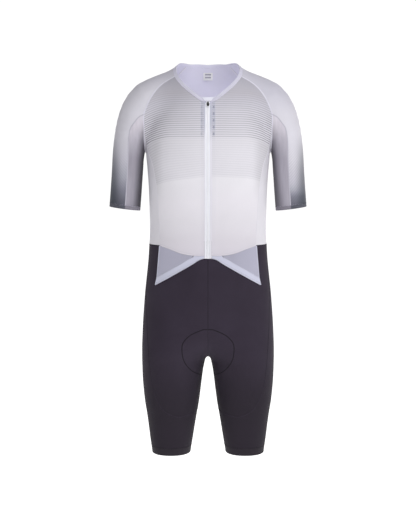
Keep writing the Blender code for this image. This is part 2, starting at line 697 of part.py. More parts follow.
def ring_quads(rows, columns):
    """The faces of a grid whose last column joins its first."""
    first = np.arange(rows - 1)[:, None] * columns
    here = np.arange(columns)
    after = (here + 1) % columns
    corners = [first + here, first + after, first + columns + after, first + columns + here]
    return np.stack([corner.reshape(-1) for corner in corners], axis=1)


def leg_lines():
    """The leg panel's front seam and the top of its band, as turns and heights."""
    seam = np.stack([column(LEG_SEAM, LEG_SEAM_COLUMNS, name) for name in ("turn", "height")], axis=1)
    band = np.array([(turn, height) for height, turn in (LEG_SEAM[-1], *LEG_BAND_TOP)])
    scale = np.array((LEG_DEGREE, 1.0))
    seam = spaced(seam * scale, SEAT_STEPS + INSEAM_STEPS) / scale
    return seam, spaced(band * scale, SHORTS_STEPS) / scale


def inner_line():
    """The middle seam down to the crotch and the inseam below it, as turns and heights at even steps."""
    crotch = crotch_height()
    fine = np.linspace(LEG_SEAM[0][0], crotch, 3000)
    reach = lengths(trunk_point(middle_turn(fine), fine))
    heights = np.interp(np.linspace(0, reach[-1], SEAT_STEPS + 1), reach, fine)
    inseam = np.linspace(crotch, LEG_BAND_TOP[-1][0], INSEAM_STEPS + 1)[1:]
    heights = np.concatenate([heights, inseam])
    return np.stack([middle_turn(heights), heights], axis=1)


def shorts_panels():
    """The grids of the shorts' front and back, and the points and faces of the leg panel and its hem."""
    seam, band = leg_lines()
    inner = inner_line()
    top = np.linspace(inner[0], seam[0], SHORTS_STEPS + 1)
    grid = coons(top, band[::-1], inner, seam)
    front = trunk_point(grid[..., 0], grid[..., 1])
    back = trunk_point(180 - grid[..., 0], grid[..., 1])
    front[: SEAT_STEPS + 1, 0, 0] = 0
    back[: SEAT_STEPS + 1, 0, 0] = 0

    over = np.linspace(0, 1, LEG_STRIP_STEPS + 1)
    turns = seam[:, :1] + over * (180 - 2 * seam[:, :1])
    heights = np.broadcast_to(seam[:, 1:], turns.shape)
    strip = trunk_point(turns, heights)
    foot_turns = np.concatenate([band[::-1, 0], turns[-1, 1:], 180 - band[1:-1, 0]])
    foot_heights = np.concatenate([band[::-1, 1], heights[-1, 1:], band[1:-1, 1]])
    down = np.linspace(0, 1, LEG_BAND_ROWS + 1)[:, None]
    ring_heights = foot_heights + down * (LEG_HEM_TOP - foot_heights)
    ring = trunk_point(np.broadcast_to(foot_turns, ring_heights.shape), ring_heights)
    columns = len(foot_turns)
    hem_heights = np.array([[LEG_HEM_TOP], [LEG_END]])
    hem = trunk_point(np.broadcast_to(foot_turns, (2, columns)), np.broadcast_to(hem_heights, (2, columns)))

    above = strip[:-1].reshape(-1, 3)
    across = LEG_STRIP_STEPS + 1
    strip_index = np.arange(len(strip) * across).reshape(len(strip), across)
    strip_index[-1] = len(above) + SHORTS_STEPS + np.arange(across)
    joined = [strip_index[:-1, :-1], strip_index[:-1, 1:], strip_index[1:, 1:], strip_index[1:, :-1]]
    strip_quads = np.stack([corner.reshape(-1) for corner in joined], axis=1)
    faces = np.concatenate([strip_quads, ring_quads(LEG_BAND_ROWS + 1, columns) + len(above)])
    return front, back, (np.concatenate([above, ring.reshape(-1, 3)]), faces), hem


def tail_pieces(front):
    """The mesh tail and its band, seen from the front, sharing the front panel's lower edge."""
    hem = front[-1]
    upper = hem[TAIL_INNER_COLUMN:]
    columns = len(upper)
    inner_corner = hem[TAIL_INNER_COLUMN, [0, 2]] - (0, TAIL_INNER_DROP)
    lower = spaced([inner_corner, *TAIL_EDGE, TAIL_CORNER], columns - 1)
    outer_edge = spaced([upper[-1, [0, 2]], TAIL_CORNER], TAIL_ROWS)
    inner_edge = spaced([upper[0, [0, 2]], inner_corner], TAIL_ROWS)
    flat = coons(upper[:, [0, 2]], lower, inner_edge, outer_edge)
    tail = seen(flat.reshape(-1, 2), -1).reshape(TAIL_ROWS + 1, columns, 3)
    tail[0] = upper

    # The band's upper edge follows the panel's hem to its inner corner, and then the mesh's lower edge.
    edge = np.concatenate([hem[:TAIL_INNER_COLUMN, [0, 2]], lower])
    foot = spaced([BAND_MIDDLE, *BAND_FOOT, TAIL_POINT], len(edge) - 1)
    band = seen(np.concatenate([edge, foot]), -1).reshape(2, len(edge), 3)
    return tail, band


def creep(start, way, count, steps):
    """Lines that leave their starts in one direction and follow the form, each by its own step."""
    lines = [start]
    for _ in range(count):
        out = outward(lines[-1])
        way = way - (way * out).sum(axis=-1, keepdims=True) * out
        way /= np.linalg.norm(way, axis=-1, keepdims=True)
        lines.append(settle(lines[-1] + way * steps[:, None]))
    return lines


def seat_pad(finish):
    """The pad inside the crotch: its outline is a half width for each part of the way from front to back."""
    crotch = crotch_height()
    down = np.linspace(SEAT_PAD_FRONT, crotch, 1500)
    up = np.linspace(crotch, SEAT_PAD_BACK, 1500)[1:]
    fine = np.concatenate([
        trunk_point(middle_turn(down), down),
        trunk_point(180 - middle_turn(up), up),
    ]) * (0, 1, 1)
    reach = lengths(fine)
    rows = SEAT_PAD_ROWS + 1
    share = np.linspace(0, 1, rows)
    middle = np.stack([np.interp(share * reach[-1], reach, fine[:, axis]) for axis in range(3)], axis=1)
    middle = settle(middle)
    wide = smooth(share, *[column(SEAT_PAD, SEAT_PAD_COLUMNS, name) for name in SEAT_PAD_COLUMNS])
    half = SEAT_PAD_HALF_COLUMNS
    aside = creep(middle, np.tile((1.0, 0.0, 0.0), (rows, 1)), half, wide / half)
    across = [line * (-1, 1, 1) for line in aside[:0:-1]] + aside
    grid = np.stack(across, axis=1)
    sideways = np.linspace(-1, 1, 2 * half + 1)
    plump = (1 - sideways**4)[None] * (1 - (2 * share - 1) ** 8)[:, None]
    thickness = SEAT_PAD_EDGE + (SEAT_PAD_THICKNESS - SEAT_PAD_EDGE) * plump
    raised = -CLOTH - SEAT_PAD_CLEARANCE
    faces = quads_of(rows, 2 * half + 1)
    wall("seat_pad", grid, faces, finish, thickness=thickness.reshape(-1), raised=raised)


def neck_label(finish):
    """The small label under the back of the neckband, on the inside of the back panel."""
    across = np.linspace(-0.5, 0.5, 4) * LABEL_SIZE[0]
    up = np.linspace(0.5, -0.5, 3) * LABEL_SIZE[1] + LABEL_HEIGHT
    flat = np.stack(np.meshgrid(across, up), axis=-1).reshape(-1, 2)
    raised = -CLOTH - LABEL_CLEARANCE
    wall("neck_label", seen(flat, 1), quads_of(3, 4), finish, thickness=LABEL_THICKNESS, raised=raised)


def zip_strips(foot, tape, coil):
    """The zip's two tapes and the coil between them, down the middle of the front."""
    top = np.interp((0.0, ZIP_TAPE_INNER, ZIP_EDGE), foot[:3, 0], foot[:3, 2])
    rows = ZIP_ROWS + 1
    foot_height = BAND_MIDDLE[1]
    down = np.linspace(0, 1, rows)[:, None]
    across = np.array((ZIP_TAPE_INNER, ZIP_EDGE))
    heights = top[1:] - TAPE_START + down * (foot_height - top[1:] + TAPE_START)
    flat = np.stack([np.broadcast_to(across, heights.shape), heights], axis=-1)
    strip = seen(flat.reshape(-1, 2), -1).reshape(rows, 2, 3)
    both_sides("zip_tape", strip, tape, thickness=ZIP_TAPE_THICKNESS, raised=overlap(strip))
    across = np.array((-ZIP_COIL_HALF, 0.0, ZIP_COIL_HALF))
    heights = top[0] - TAPE_START + down * (foot_height - top[0] + TAPE_START)
    heights = np.broadcast_to(heights, (rows, 3))
    flat = np.stack([np.broadcast_to(across, heights.shape), heights], axis=-1)
    strip = seen(flat.reshape(-1, 2), -1).reshape(rows, 3, 3)
    raised = ZIP_COIL_RAISE + overlap(strip)
    wall("zip_coil", strip, quads_of(rows, 3), coil, thickness=ZIP_COIL_THICKNESS, raised=raised)


def zip_garage(finish):
    """The small cloth cover over the top of the zip, where the two ends of the neckband meet."""
    across = np.linspace(-1, 1, 5)
    flat = np.array([[(half * part, height) for part in across] for height, half in GARAGE])
    grid = seen(flat.reshape(-1, 2), -1).reshape(len(GARAGE), len(across), 3)
    faces = quads_of(len(GARAGE), len(across))
    wall("zip_garage", grid, faces, finish, thickness=GARAGE_THICKNESS, raised=GARAGE_RAISE)


def box_mesh(name, low, high, finish):
    """A plain block between two corners."""
    across, along, up = zip(low, high)
    corners = np.array([(x, y, z) for x in across for y in along for z in up])
    faces = [(0, 1, 3, 2), (4, 6, 7, 5), (0, 4, 5, 1), (2, 3, 7, 6), (0, 2, 6, 4), (1, 5, 7, 3)]
    return add_object(name, corners, faces, finish)


def rod_mesh(name, middle, radius, half_length, finish, sides=16):
    """A round rod along X."""
    turn = np.arange(sides) * 2 * math.pi / sides
    along, up = middle[1] + radius * np.cos(turn), middle[2] + radius * np.sin(turn)
    rings = [np.stack([np.full(sides, x), along, up], axis=1) for x in (-half_length, half_length)]
    first = np.arange(sides)
    after = (first + 1) % sides
    around = np.stack([first, after, after + sides, first + sides], axis=1).tolist()
    caps = [list(range(sides))[::-1], list(range(sides, 2 * sides))]
    return add_object(name, np.concatenate(rings), around + caps, finish)


def combine(target, other, operation):
    """A Boolean with a helper that is itself left out of the model."""
    other.hide_render = True
    other.display_type = "WIRE"
    change = target.modifiers.new(other.name, "BOOLEAN")
    change.operation = operation
    change.object = other


def slider_with_pin(face, under, pin, finish):
    """The slider's block, with an ear on each side of the pull tab and the pin through both."""
    wide, _, tall = SLIDER_SIZE
    body = box_mesh("zip_slider", (-wide / 2, face, -tall / 2), (wide / 2, under, tall / 2), finish)
    helpers = []
    for name, side in (("slider_ear_left", 1), ("slider_ear_right", -1)):
        across = sorted((side * EAR_INSIDE, side * EAR_OUTSIDE))
        low = (across[0], pin[1] - EAR_PAST_PIN, pin[2] - EAR_HALF_HEIGHT)
        high = (across[1], face + EAR_ROOT, pin[2] + EAR_HALF_HEIGHT)
        helpers.append(box_mesh(name, low, high, finish))
    helpers.append(rod_mesh("slider_pin", pin, PIN_RADIUS, PIN_HALF_LENGTH, finish))
    for helper in helpers:
        combine(body, helper, "UNION")
    return [body, *helpers]


def pull_tab(finish):
    """The pull tab about its own hinge axis: the barrel, the plate that hangs from it, and the pin's hole."""
    middle = (0.0, 0.0, 0.0)
    tab = rod_mesh("zip_pull", middle, BARREL_RADIUS, BARREL_HALF_LENGTH, finish)
    points = np.array([
        (side * half, y, -down)
        for y in (-PULL_HALF_THICKNESS, PULL_HALF_THICKNESS)
        for down, half in PULL
        for side in (-1, 1)
    ])
    count = 2 * len(PULL)
    front = np.arange(0, count - 2, 2)[:, None] + (0, 2, 3, 1)
    rim = [(end, start, start + count, end + count) for start, end in rim_of(front).tolist()]
    faces = front.tolist() + (front[:, ::-1] + count).tolist() + rim
    plate = add_object("pull_plate", points, faces, finish)
    hole = rod_mesh("pull_hole", middle, PULL_HOLE_RADIUS, PULL_HOLE_HALF_LENGTH, finish)
    combine(tab, plate, "UNION")
    combine(tab, hole, "DIFFERENCE")
    return [tab, plate, hole]


def zip_slider_and_pull(slider_finish, pull_finish):
    """The slider on the coil and the pull tab on its pin, both leaned as the front is at that height."""
    seat = seen([(0.0, SLIDER_HEIGHT)], -1)
    out = outward(seat)[0]
    root = bpy.data.objects.new("zip_place", None)
    root.location = seat[0]
    root.rotation_euler = (-math.atan2(out[2], -out[1]), 0.0, 0.0)
    bpy.context.scene.collection.objects.link(root)

    under = -ZIP_COIL_RAISE - SEAM_GAP
    face = under - SLIDER_SIZE[1]
    pin = (0.0, face - PIN_STAND_OFF, SLIDER_SIZE[2] / 2 - PIN_BELOW_TOP)
    for piece in slider_with_pin(face, under, pin, slider_finish):
        piece.parent = root
    for piece in pull_tab(pull_finish):
        piece.parent = root
        piece.location = pin


def main():
    for item in list(bpy.data.objects):
        bpy.data.objects.remove(item)
    jersey = material("jersey_white", (0.80, 0.80, 0.83), 0.75)
    upper_sleeve = material("sleeve_grey", (0.42, 0.42, 0.48), 0.75)
    under_sleeve = material("undersleeve_grey", (0.24, 0.23, 0.28), 0.75)
    lavender = material("band_lavender", (0.62, 0.62, 0.74), 0.70)
    mesh_cloth = material("tail_mesh", (0.52, 0.52, 0.62), 0.80)
    charcoal = material("shorts_charcoal", (0.045, 0.037, 0.050), 0.70)
    gripper = material("hem_charcoal", (0.035, 0.030, 0.040), 0.60)
    foam = material("pad_grey", (0.20, 0.20, 0.24), 0.85)
    plastic_white = material("zip_white", (0.85, 0.85, 0.88), 0.40)
    plastic_black = material("pull_black", (0.02, 0.02, 0.022), 0.35)

    edge, foot = neck_lines()
    seams = main_seams(foot)

    front = front_panel(foot, seams)
    both_sides("front", front, jersey, raised=overlap(front))
    half_back = back_panel(foot, seams)
    back = np.concatenate([half_back[:, :0:-1] * (-1, 1, 1), half_back], axis=1)
    wall("back", back, quads_of(*back.shape[:2]), jersey)
    both_sides("side", side_panel(seams), jersey)

    upper, under, cuff = sleeve_panels(foot, seams)
    both_sides("sleeve", upper, upper_sleeve)
    both_sides("undersleeve", under, under_sleeve)
    around = ring_quads(2, cuff.shape[1])
    wall("cuff_left", cuff, around, under_sleeve)
    wall("cuff_right", cuff * (-1, 1, 1), around, under_sleeve)

    band = np.stack([edge, foot])
    band[:, 0, 0] = NECKBAND_START
    band = np.concatenate([band[:, :-1] * (-1, 1, 1), band[:, ::-1]], axis=1)
    faces = quads_of(*band.shape[:2])
    wall("neckband", band, faces, lavender, thickness=NECKBAND_THICKNESS, raised=NECKBAND_RAISE)

    tail, tail_band = tail_pieces(front)
    both_sides("tail", tail, mesh_cloth, raised=overlap(tail))
    both_sides("tail_band", tail_band, lavender, raised=overlap(tail_band))

    shorts_front, shorts_back, (leg_points, leg_faces), hem = shorts_panels()
    both_sides("shorts_front", shorts_front, charcoal)
    both_sides("shorts_back", shorts_back, charcoal)
    hem_faces = ring_quads(2, hem.shape[1])
    for name, way in (("left", (1, 1, 1)), ("right", (-1, 1, 1))):
        wall("leg_panel_" + name, leg_points * way, leg_faces, charcoal)
        wall("leg_hem_" + name, hem * way, hem_faces, gripper)
    seat_pad(foam)

    neck_label(plastic_white)
    zip_strips(foot, lavender, plastic_white)
    zip_garage(jersey)
    zip_slider_and_pull(plastic_white, plastic_black)


main()
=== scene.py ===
"""The looks of the cycling skinsuit: thin knit cloth on the form of each packed panel, with its sewing,
its zip and its printed stripes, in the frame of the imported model, in metres.
"""

import math

import bpy
import numpy as np
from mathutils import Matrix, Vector


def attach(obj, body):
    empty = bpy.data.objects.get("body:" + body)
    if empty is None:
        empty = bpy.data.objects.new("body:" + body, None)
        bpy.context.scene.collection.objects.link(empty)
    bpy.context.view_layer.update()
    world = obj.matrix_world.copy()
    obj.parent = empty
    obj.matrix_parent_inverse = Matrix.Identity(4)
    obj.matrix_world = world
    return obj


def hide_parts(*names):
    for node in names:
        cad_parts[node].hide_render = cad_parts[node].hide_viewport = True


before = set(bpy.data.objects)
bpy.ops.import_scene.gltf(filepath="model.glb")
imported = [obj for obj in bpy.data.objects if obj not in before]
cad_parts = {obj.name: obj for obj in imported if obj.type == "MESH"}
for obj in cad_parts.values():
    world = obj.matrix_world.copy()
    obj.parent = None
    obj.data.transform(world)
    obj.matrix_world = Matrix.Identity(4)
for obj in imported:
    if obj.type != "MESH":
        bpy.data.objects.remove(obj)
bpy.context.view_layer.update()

# The front panels: two pieces of light jersey knit, printed with fine grey stripes that fade downwards, cut
# from the neckband to the hem and open at the middle for the zip. They are stretched over the filled form,
# which is worked out here from short tables, and every other panel lies on the same form.

# The trunk and each leg at a height: half width, the oval's middle from the suit's, front y and back y.
TRUNK = np.array((
    (0.060, 0.0500, 0.0000, -0.048, 0.056),
    (0.020, 0.0570, 0.0000, -0.056, 0.064),
    (0.000, 0.0630, 0.0000, -0.062, 0.070),
    (-0.030, 0.0770, 0.0000, -0.074, 0.082),
    (-0.060, 0.0970, 0.0000, -0.087, 0.093),
    (-0.090, 0.1180, 0.0000, -0.099, 0.101),
    (-0.130, 0.1400, 0.0000, -0.111, 0.108),
    (-0.190, 0.1590, 0.0000, -0.121, 0.113),
    (-0.230, 0.1590, 0.0000, -0.120, 0.111),
    (-0.260, 0.1565, 0.0000, -0.116, 0.107),
    (-0.320, 0.1525, 0.0000, -0.107, 0.098),
    (-0.370, 0.1510, 0.0000, -0.101, 0.091),
    (-0.420, 0.1500, 0.0000, -0.099, 0.087),
    (-0.463, 0.1520, 0.0000, -0.100, 0.089),
    (-0.500, 0.1546, 0.0000, -0.103, 0.095),
    (-0.550, 0.1600, 0.0000, -0.106, 0.108),
    (-0.580, 0.1635, 0.0000, -0.107, 0.117),
    (-0.620, 0.1670, 0.0085, -0.107, 0.125),
    (-0.660, 0.1700, 0.0300, -0.106, 0.129),
    (-0.700, 0.1720, 0.0560, -0.104, 0.127),
    (-0.730, 0.1730, 0.0775, -0.101, 0.120),
    (-0.745, 0.1730, 0.0860, -0.099, 0.115),
    (-0.757, 0.1730, 0.0905, -0.097, 0.111),
    (-0.778, 0.1725, 0.0928, -0.094, 0.105),
    (-0.810, 0.1714, 0.0945, -0.090, 0.097),
    (-0.842, 0.1690, 0.0951, -0.086, 0.090),
    (-0.874, 0.1655, 0.0953, -0.081, 0.083),
    (-0.906, 0.1605, 0.0953, -0.075, 0.077),
    (-0.938, 0.1563, 0.0958, -0.069, 0.071),
    (-0.971, 0.1524, 0.0964, -0.063, 0.065),
    (-1.003, 0.1480, 0.0968, -0.058, 0.060),
    (-1.040, 0.1450, 0.0973, -0.055, 0.057),
))
OVAL_POWER = 2.25
CROTCH_ROUND = 0.008

# The middle line and radius of the tube that is the shoulder and the sleeve: across, height, radius.
SLEEVE = (
    (0.020, -0.040, 0.0480),
    (0.073, -0.062, 0.0500),
    (0.123, -0.084, 0.0530),
    (0.150, -0.099, 0.0550),
    (0.168, -0.119, 0.0530),
    (0.185, -0.155, 0.0495),
    (0.1990, -0.197, 0.0432),
    (0.2048, -0.228, 0.0408),
    (0.2078, -0.270, 0.0402),
    (0.2136, -0.3485, 0.0402),
    (0.2180, -0.4000, 0.0400),
)
SLEEVE_MIDDLE_Y = 0.004
SLEEVE_DEPTH = 1.15
SLEEVE_SPANS = 26
# How far the trunk and the sleeve melt into each other at a height.
MELT = np.array(((-0.100, 0.040), (-0.150, 0.030), (-0.185, 0.016), (-0.205, 0.007), (-0.225, 0.003)))


def smooth(at, knots, values):
    """Cubic pieces through a table's values, whose slopes come from the neighbouring rows."""
    order = np.argsort(knots)
    knots, values = knots[order], values[order]
    slopes = np.gradient(values, knots)
    row = np.clip(np.searchsorted(knots, at) - 1, 0, len(knots) - 2)
    span = knots[row + 1] - knots[row]
    part = np.clip((at - knots[row]) / span, 0, 1)
    ease = part * part * (3 - 2 * part)
    bend = slopes[row] * part * (1 - part) ** 2 - slopes[row + 1] * part**2 * (1 - part)
    return values[row] * (1 - ease) + values[row + 1] * ease + span * bend


def lengths(points):
    """The distance along a line of points, from its first."""
    steps = np.linalg.norm(np.diff(points, axis=0), axis=1)
    return np.concatenate([[0.0], np.cumsum(steps)])


def spaced(points, steps):
    """A smooth line through the points, divided into equal steps."""
    points = np.asarray(points, float)
    along = lengths(points)
    fine = np.linspace(0, along[-1], max(40 * len(points), 4 * steps))
    line = np.stack([smooth(fine, along, column) for column in points.T], axis=1)
    reach = lengths(line)
    at = np.linspace(0, reach[-1], steps + 1)
    return np.stack([np.interp(at, reach, column) for column in line.T], axis=1)


SLEEVE_LINE = spaced(SLEEVE, SLEEVE_SPANS)


def section(height):
    """The oval at a height: its middle across, its half width, its middle y and its half depth."""
    half_width, centre, front, back = (smooth(height, TRUNK[:, 0], column) for column in TRUNK.T[1:])
    return centre, half_width - centre, (front + back) / 2, (back - front) / 2


def form(points):
    """The distance out of the filled form: a superellipse for the trunk and each leg, a chain of cones for
    the shoulder and sleeve, and a polynomial melt between the two."""
    centre, half, middle, depth = section(points[..., 2])
    across = np.abs(np.hypot(points[..., 0], CROTCH_ROUND) - centre) / half
    along = np.abs(points[..., 1] - middle) / depth
    oval = (across**OVAL_POWER + along**OVAL_POWER) ** (1 / OVAL_POWER)
    trunk = (oval - 1) * np.minimum(half, depth)
    flat = np.stack([np.abs(points[..., 0]), points[..., 2]], axis=-1)[..., None, :]
    rise = ((points[..., 1] - SLEEVE_MIDDLE_Y) / SLEEVE_DEPTH)[..., None]
    start, end = SLEEVE_LINE[:-1], SLEEVE_LINE[1:]
    run = end[:, :2] - start[:, :2]
    part = np.clip(((flat - start[:, :2]) * run).sum(axis=-1) / (run**2).sum(axis=-1), 0, 1)
    off = flat - start[:, :2] - part[..., None] * run
    radius = start[:, 2] + part * (end[:, 2] - start[:, 2])
    sleeve = (np.sqrt((off**2).sum(axis=-1) + rise**2) - radius).min(axis=-1)
    melt = smooth(points[..., 2], MELT[:, 0], MELT[:, 1])
    share = np.clip(0.5 + 0.5 * (sleeve - trunk) / melt, 0, 1)
    return sleeve + (trunk - sleeve) * share - melt * share * (1 - share)


def meet(inside, toward):
    """Where straight lines from inside the form first leave it, by strides and then by halving."""
    inside, toward = np.broadcast_arrays(np.asarray(inside, float), np.asarray(toward, float))
    ray = toward - inside
    ray = ray / np.linalg.norm(ray, axis=-1, keepdims=True)
    last = np.zeros(inside.shape[:-1])
    reach = np.zeros(inside.shape[:-1])
    for _ in range(40):
        field = form(inside + reach[..., None] * ray)
        within = field < 0
        last = np.where(within, reach, last)
        reach = np.where(within, reach + np.maximum(-0.8 * field, 0.001), reach)
    for _ in range(12):
        part = (last + reach) / 2
        within = form(inside + part[..., None] * ray) < 0
        last = np.where(within, part, last)
        reach = np.where(within, reach, part)
    return inside + part[..., None] * ray


def outward(points):
    """The direction straight out of the form: its slope along each axis, made one long."""
    step = 0.0008 * np.eye(3)
    slope = np.stack([form(points + axis) - form(points - axis) for axis in step], axis=-1)
    return slope / np.linalg.norm(slope, axis=-1, keepdims=True)


def settle(points):
    """Points near the form, moved straight onto it."""
    for _ in range(4):
        points = points - form(points)[..., None] * outward(points)
    return points


def seen(flat, side):
    """Points given by distance across and height, put on the front (side -1) or the back (+1)."""
    flat = np.asarray(flat, float)
    inside = np.stack([flat[..., 0], np.zeros(flat.shape[:-1]), flat[..., 1]], axis=-1)
    return meet(inside, inside + (0, side, 0))


def coons(top, bottom, start, end):
    """A grid between four edges: the blend of top and bottom, plus the blend of start and end, less the
    blend of the corners."""
    down = np.linspace(0, 1, len(start))[:, None, None]
    over = np.linspace(0, 1, len(top))[None, :, None]
    from_rows = (1 - down) * top[None] + down * bottom[None]
    from_columns = (1 - over) * start[:, None] + over * end[:, None]
    top_corners = (1 - over) * top[0] + over * top[-1]
    bottom_corners = (1 - over) * bottom[0] + over * bottom[-1]
    return from_rows + from_columns - (1 - down) * top_corners - down * bottom_corners


def cast_out(turn, height):
    """Points of the form at a height, cast from the trunk's middle at a turn from the front."""
    still = np.zeros_like(turn)
    inside = np.stack([still, still, still + height], axis=-1)
    return meet(inside, inside + np.stack([np.sin(turn), -np.cos(turn), still], axis=-1))


def round_trunk(top, bottom, start, end):
    """A panel on the trunk: its grid is blended in turns round the trunk and heights, then cast outwards."""
    edges = [np.stack([np.arctan2(e[:, 0], -e[:, 1]), e[:, 2]], axis=-1) for e in (top, bottom, start, end)]
    grid = cast_out(*np.moveaxis(coons(*edges), -1, 0))
    grid[0], grid[-1], grid[:, 0], grid[:, -1] = top, bottom, start, end
    return grid


# Each seam of the cut is divided this many times finer than the solid's own steps.
FINER = 6
SHOULDER_STEPS, ARMPIT_STEPS, UNDERARM_STEPS, SIDE_STEPS = 6 * FINER, 4 * FINER, 8 * FINER, 9 * FINER
SLEEVE_STEPS, SLEEVE_ROUND_STEPS = 9 * FINER, 12 * FINER
FRONT_STEPS, BACK_STEPS = 8 * FINER, 7 * FINER

# The opening edge of the neck, from the middle of the front to the middle of the back.
NECK = (
    (0.0000, -0.100, -0.0960),
    (0.0120, -0.099, -0.0930),
    (0.0280, -0.094, -0.0822),
    (0.0432, -0.085, -0.0696),
    (0.0586, -0.074, -0.0553),
    (0.0685, -0.064, -0.0440),
    (0.0740, -0.052, -0.0350),
    (0.0732, -0.036, -0.0278),
    (0.0697, -0.018, -0.0212),
    (0.0655, 0.000, -0.0155),
    (0.0603, 0.020, -0.0100),
    (0.0540, 0.038, -0.0055),
    (0.0440, 0.054, -0.0020),
    (0.0300, 0.063, 0.0005),
    (0.0150, 0.068, 0.0015),
    (0.0000, 0.070, 0.0018),
)
NECK_ROOT = np.array((0.0, 0.0, -0.110))
NECKBAND_WIDTH = 0.009
RAGLAN_SHARES = (0.405, 0.790)
ZIP_EDGE = 0.0093
ZIP_FOOT = -0.4850
WAIST = -0.4620

# Seams as they are seen from the front or the back: distance from the middle, and height.
UNDERARM_ACROSS, UNDERARM_HALF_DEPTH, UNDERARM_INSIDE = 0.1622, 0.040, -0.150
SEAMS_FRONT = {
    "side": -1,
    "raglan": ((0.1116, -0.0529), (0.1309, -0.0720), (0.1426, -0.0891), (0.1540, -0.1120)),
    "junction": (0.1612, -0.1310),
    "armpit": ((0.1625, -0.1420), (0.1615, -0.1680)),
    "sleeve": (
        (0.1730, -0.1370), (0.1860, -0.1520), (0.1950, -0.1640), (0.1996, -0.1800),
        (0.2020, -0.2040), (0.2030, -0.2400), (0.2060, -0.2950),
    ),
    "flank": ((0.1500, -0.2290), (0.1411, -0.2531), (0.1337, -0.2883), (0.1288, -0.3210), (0.1252, -0.3842)),
    "waist": 0.1207,
}
SEAMS_BACK = {
    "side": 1,
    "raglan": ((0.0850, -0.0340), (0.1100, -0.0650), (0.1300, -0.0950), (0.1450, -0.1220)),
    "junction": (0.1550, -0.1430),
    "armpit": ((0.1600, -0.1600), (0.1610, -0.1780)),
    "sleeve": (
        (0.1680, -0.1520), (0.1830, -0.1670), (0.1940, -0.1850), (0.2010, -0.2150),
        (0.2050, -0.2550), (0.2080, -0.3000),
    ),
    "flank": ((0.1510, -0.2330), (0.1420, -0.2650), (0.1340, -0.3100), (0.1270, -0.3800)),
    "waist": 0.1210,
}
FRONT_HEM = ((0.0300, -0.4852), (0.0680, -0.4798), (0.0935, -0.4706))

HEM_MIDDLE = (0.2150, -0.3705)
HEM_SLOPE = 0.135
CUFF_HEIGHT = 0.010
CUFF_SEAM_TURN = 94.0


def neck_lines():
    """The neck's opening edge and the foot of its band: the edge is cast onto the form, and the foot is
    the edge moved down the form by the band's width."""
    edge = meet(NECK_ROOT, spaced(NECK, 240))
    along = np.gradient(edge, axis=0)
    along[-1] *= (1, 0, 0)
    away = np.cross(outward(edge), along)
    away /= np.linalg.norm(away, axis=1, keepdims=True)
    foot = settle(edge - NECKBAND_WIDTH * away)
    foot[-1, 0] = 0
    past = np.argmax(foot[:, 0] > 0.002)
    foot, edge = foot[past:], edge[past:]
    slope = (foot[8] - foot[0]) / (foot[8, 0] - foot[0, 0])
    point = settle(foot[:1] - foot[0, 0] * slope)
    foot = np.concatenate([point, foot])
    edge = np.concatenate([meet(NECK_ROOT, np.array(NECK[:1], float)), edge])
    share = lengths(foot) / lengths(foot)[-1]
    zip_share = np.interp(ZIP_EDGE, foot[:40, 0], share[:40])
    shares = np.concatenate([
        [0.0],
        np.linspace(zip_share, RAGLAN_SHARES[0], FRONT_STEPS + 1),
        np.linspace(*RAGLAN_SHARES, SLEEVE_ROUND_STEPS + 1)[1:],
        np.linspace(RAGLAN_SHARES[1], 1, BACK_STEPS + 1)[1:],
    ])
    picked = [
        settle(np.stack([np.interp(shares, share, column) for column in line.T], axis=1))
        for line in (edge, foot)
    ]
    for line in picked:
        line[[0, -1], 0] = 0
    return picked


def cast_round(middle, out, turn):
    """Rays from a sleeve's middle line, turned from its outer side (0) to its front (a quarter turn)."""
    inside = np.stack([middle[..., 0], np.full_like(turn, SLEEVE_MIDDLE_Y), middle[..., 1]], axis=-1)
    ray = np.stack([np.cos(turn) * out[..., 0], -np.sin(turn), np.cos(turn) * out[..., 1]], axis=-1)
    return meet(inside, inside + ray)


def cuff_ring(up, turns):
    """Points of the sleeve in the slanting plane of its hem, moved up the sleeve."""
    slant = math.hypot(1, HEM_SLOPE)
    middle = np.array((HEM_MIDDLE[0] - up * HEM_SLOPE / slant, HEM_MIDDLE[1] + up / slant))
    out = np.array((1, HEM_SLOPE)) / slant
    turns = np.radians(turns)
    flat = np.broadcast_to(middle, (len(turns), 2))
    return cast_round(flat, np.broadcast_to(out, flat.shape), turns)


neck_edge, neck_foot = neck_lines()
armpit_top = np.linspace(
    (UNDERARM_ACROSS, -UNDERARM_HALF_DEPTH, UNDERARM_INSIDE),
    (UNDERARM_ACROSS, UNDERARM_HALF_DEPTH, UNDERARM_INSIDE),
    UNDERARM_STEPS + 1,
)
underarm = meet(armpit_top, armpit_top - (0, 0, 1))


def seams_of(cut, corner, pit_point):
    """The four seams of one side of the shoulder: each is a smooth line through its marks, seen from that
    side, with the ends put exactly where it joins the others."""
    side, pit = cut["side"], pit_point[[0, 2]]
    raglan = seen(spaced([corner[[0, 2]], *cut["raglan"], cut["junction"]], SHOULDER_STEPS), side)
    raglan[0] = corner
    armpit = seen(spaced([cut["junction"], *cut["armpit"], pit], ARMPIT_STEPS), side)
    armpit[0], armpit[-1] = raglan[-1], pit_point
    cuff = cuff_ring(CUFF_HEIGHT, np.array([-side * CUFF_SEAM_TURN]))[0]
    sleeve = seen(spaced([cut["junction"], *cut["sleeve"], cuff[[0, 2]]], SLEEVE_STEPS), side)
    sleeve[0], sleeve[-1] = raglan[-1], cuff
    flank = seen(spaced([pit, *cut["flank"], (cut["waist"], WAIST)], SIDE_STEPS), side)
    flank[0] = pit_point
    return raglan, armpit, sleeve, flank


raglan_front, armpit_front, sleeve_seam_front, flank_front = seams_of(
    SEAMS_FRONT, neck_foot[FRONT_STEPS + 1], underarm[0]
)
raglan_back, armpit_back, sleeve_seam_back, flank_back = seams_of(
    SEAMS_BACK, neck_foot[FRONT_STEPS + 1 + SLEEVE_ROUND_STEPS], underarm[-1]
)

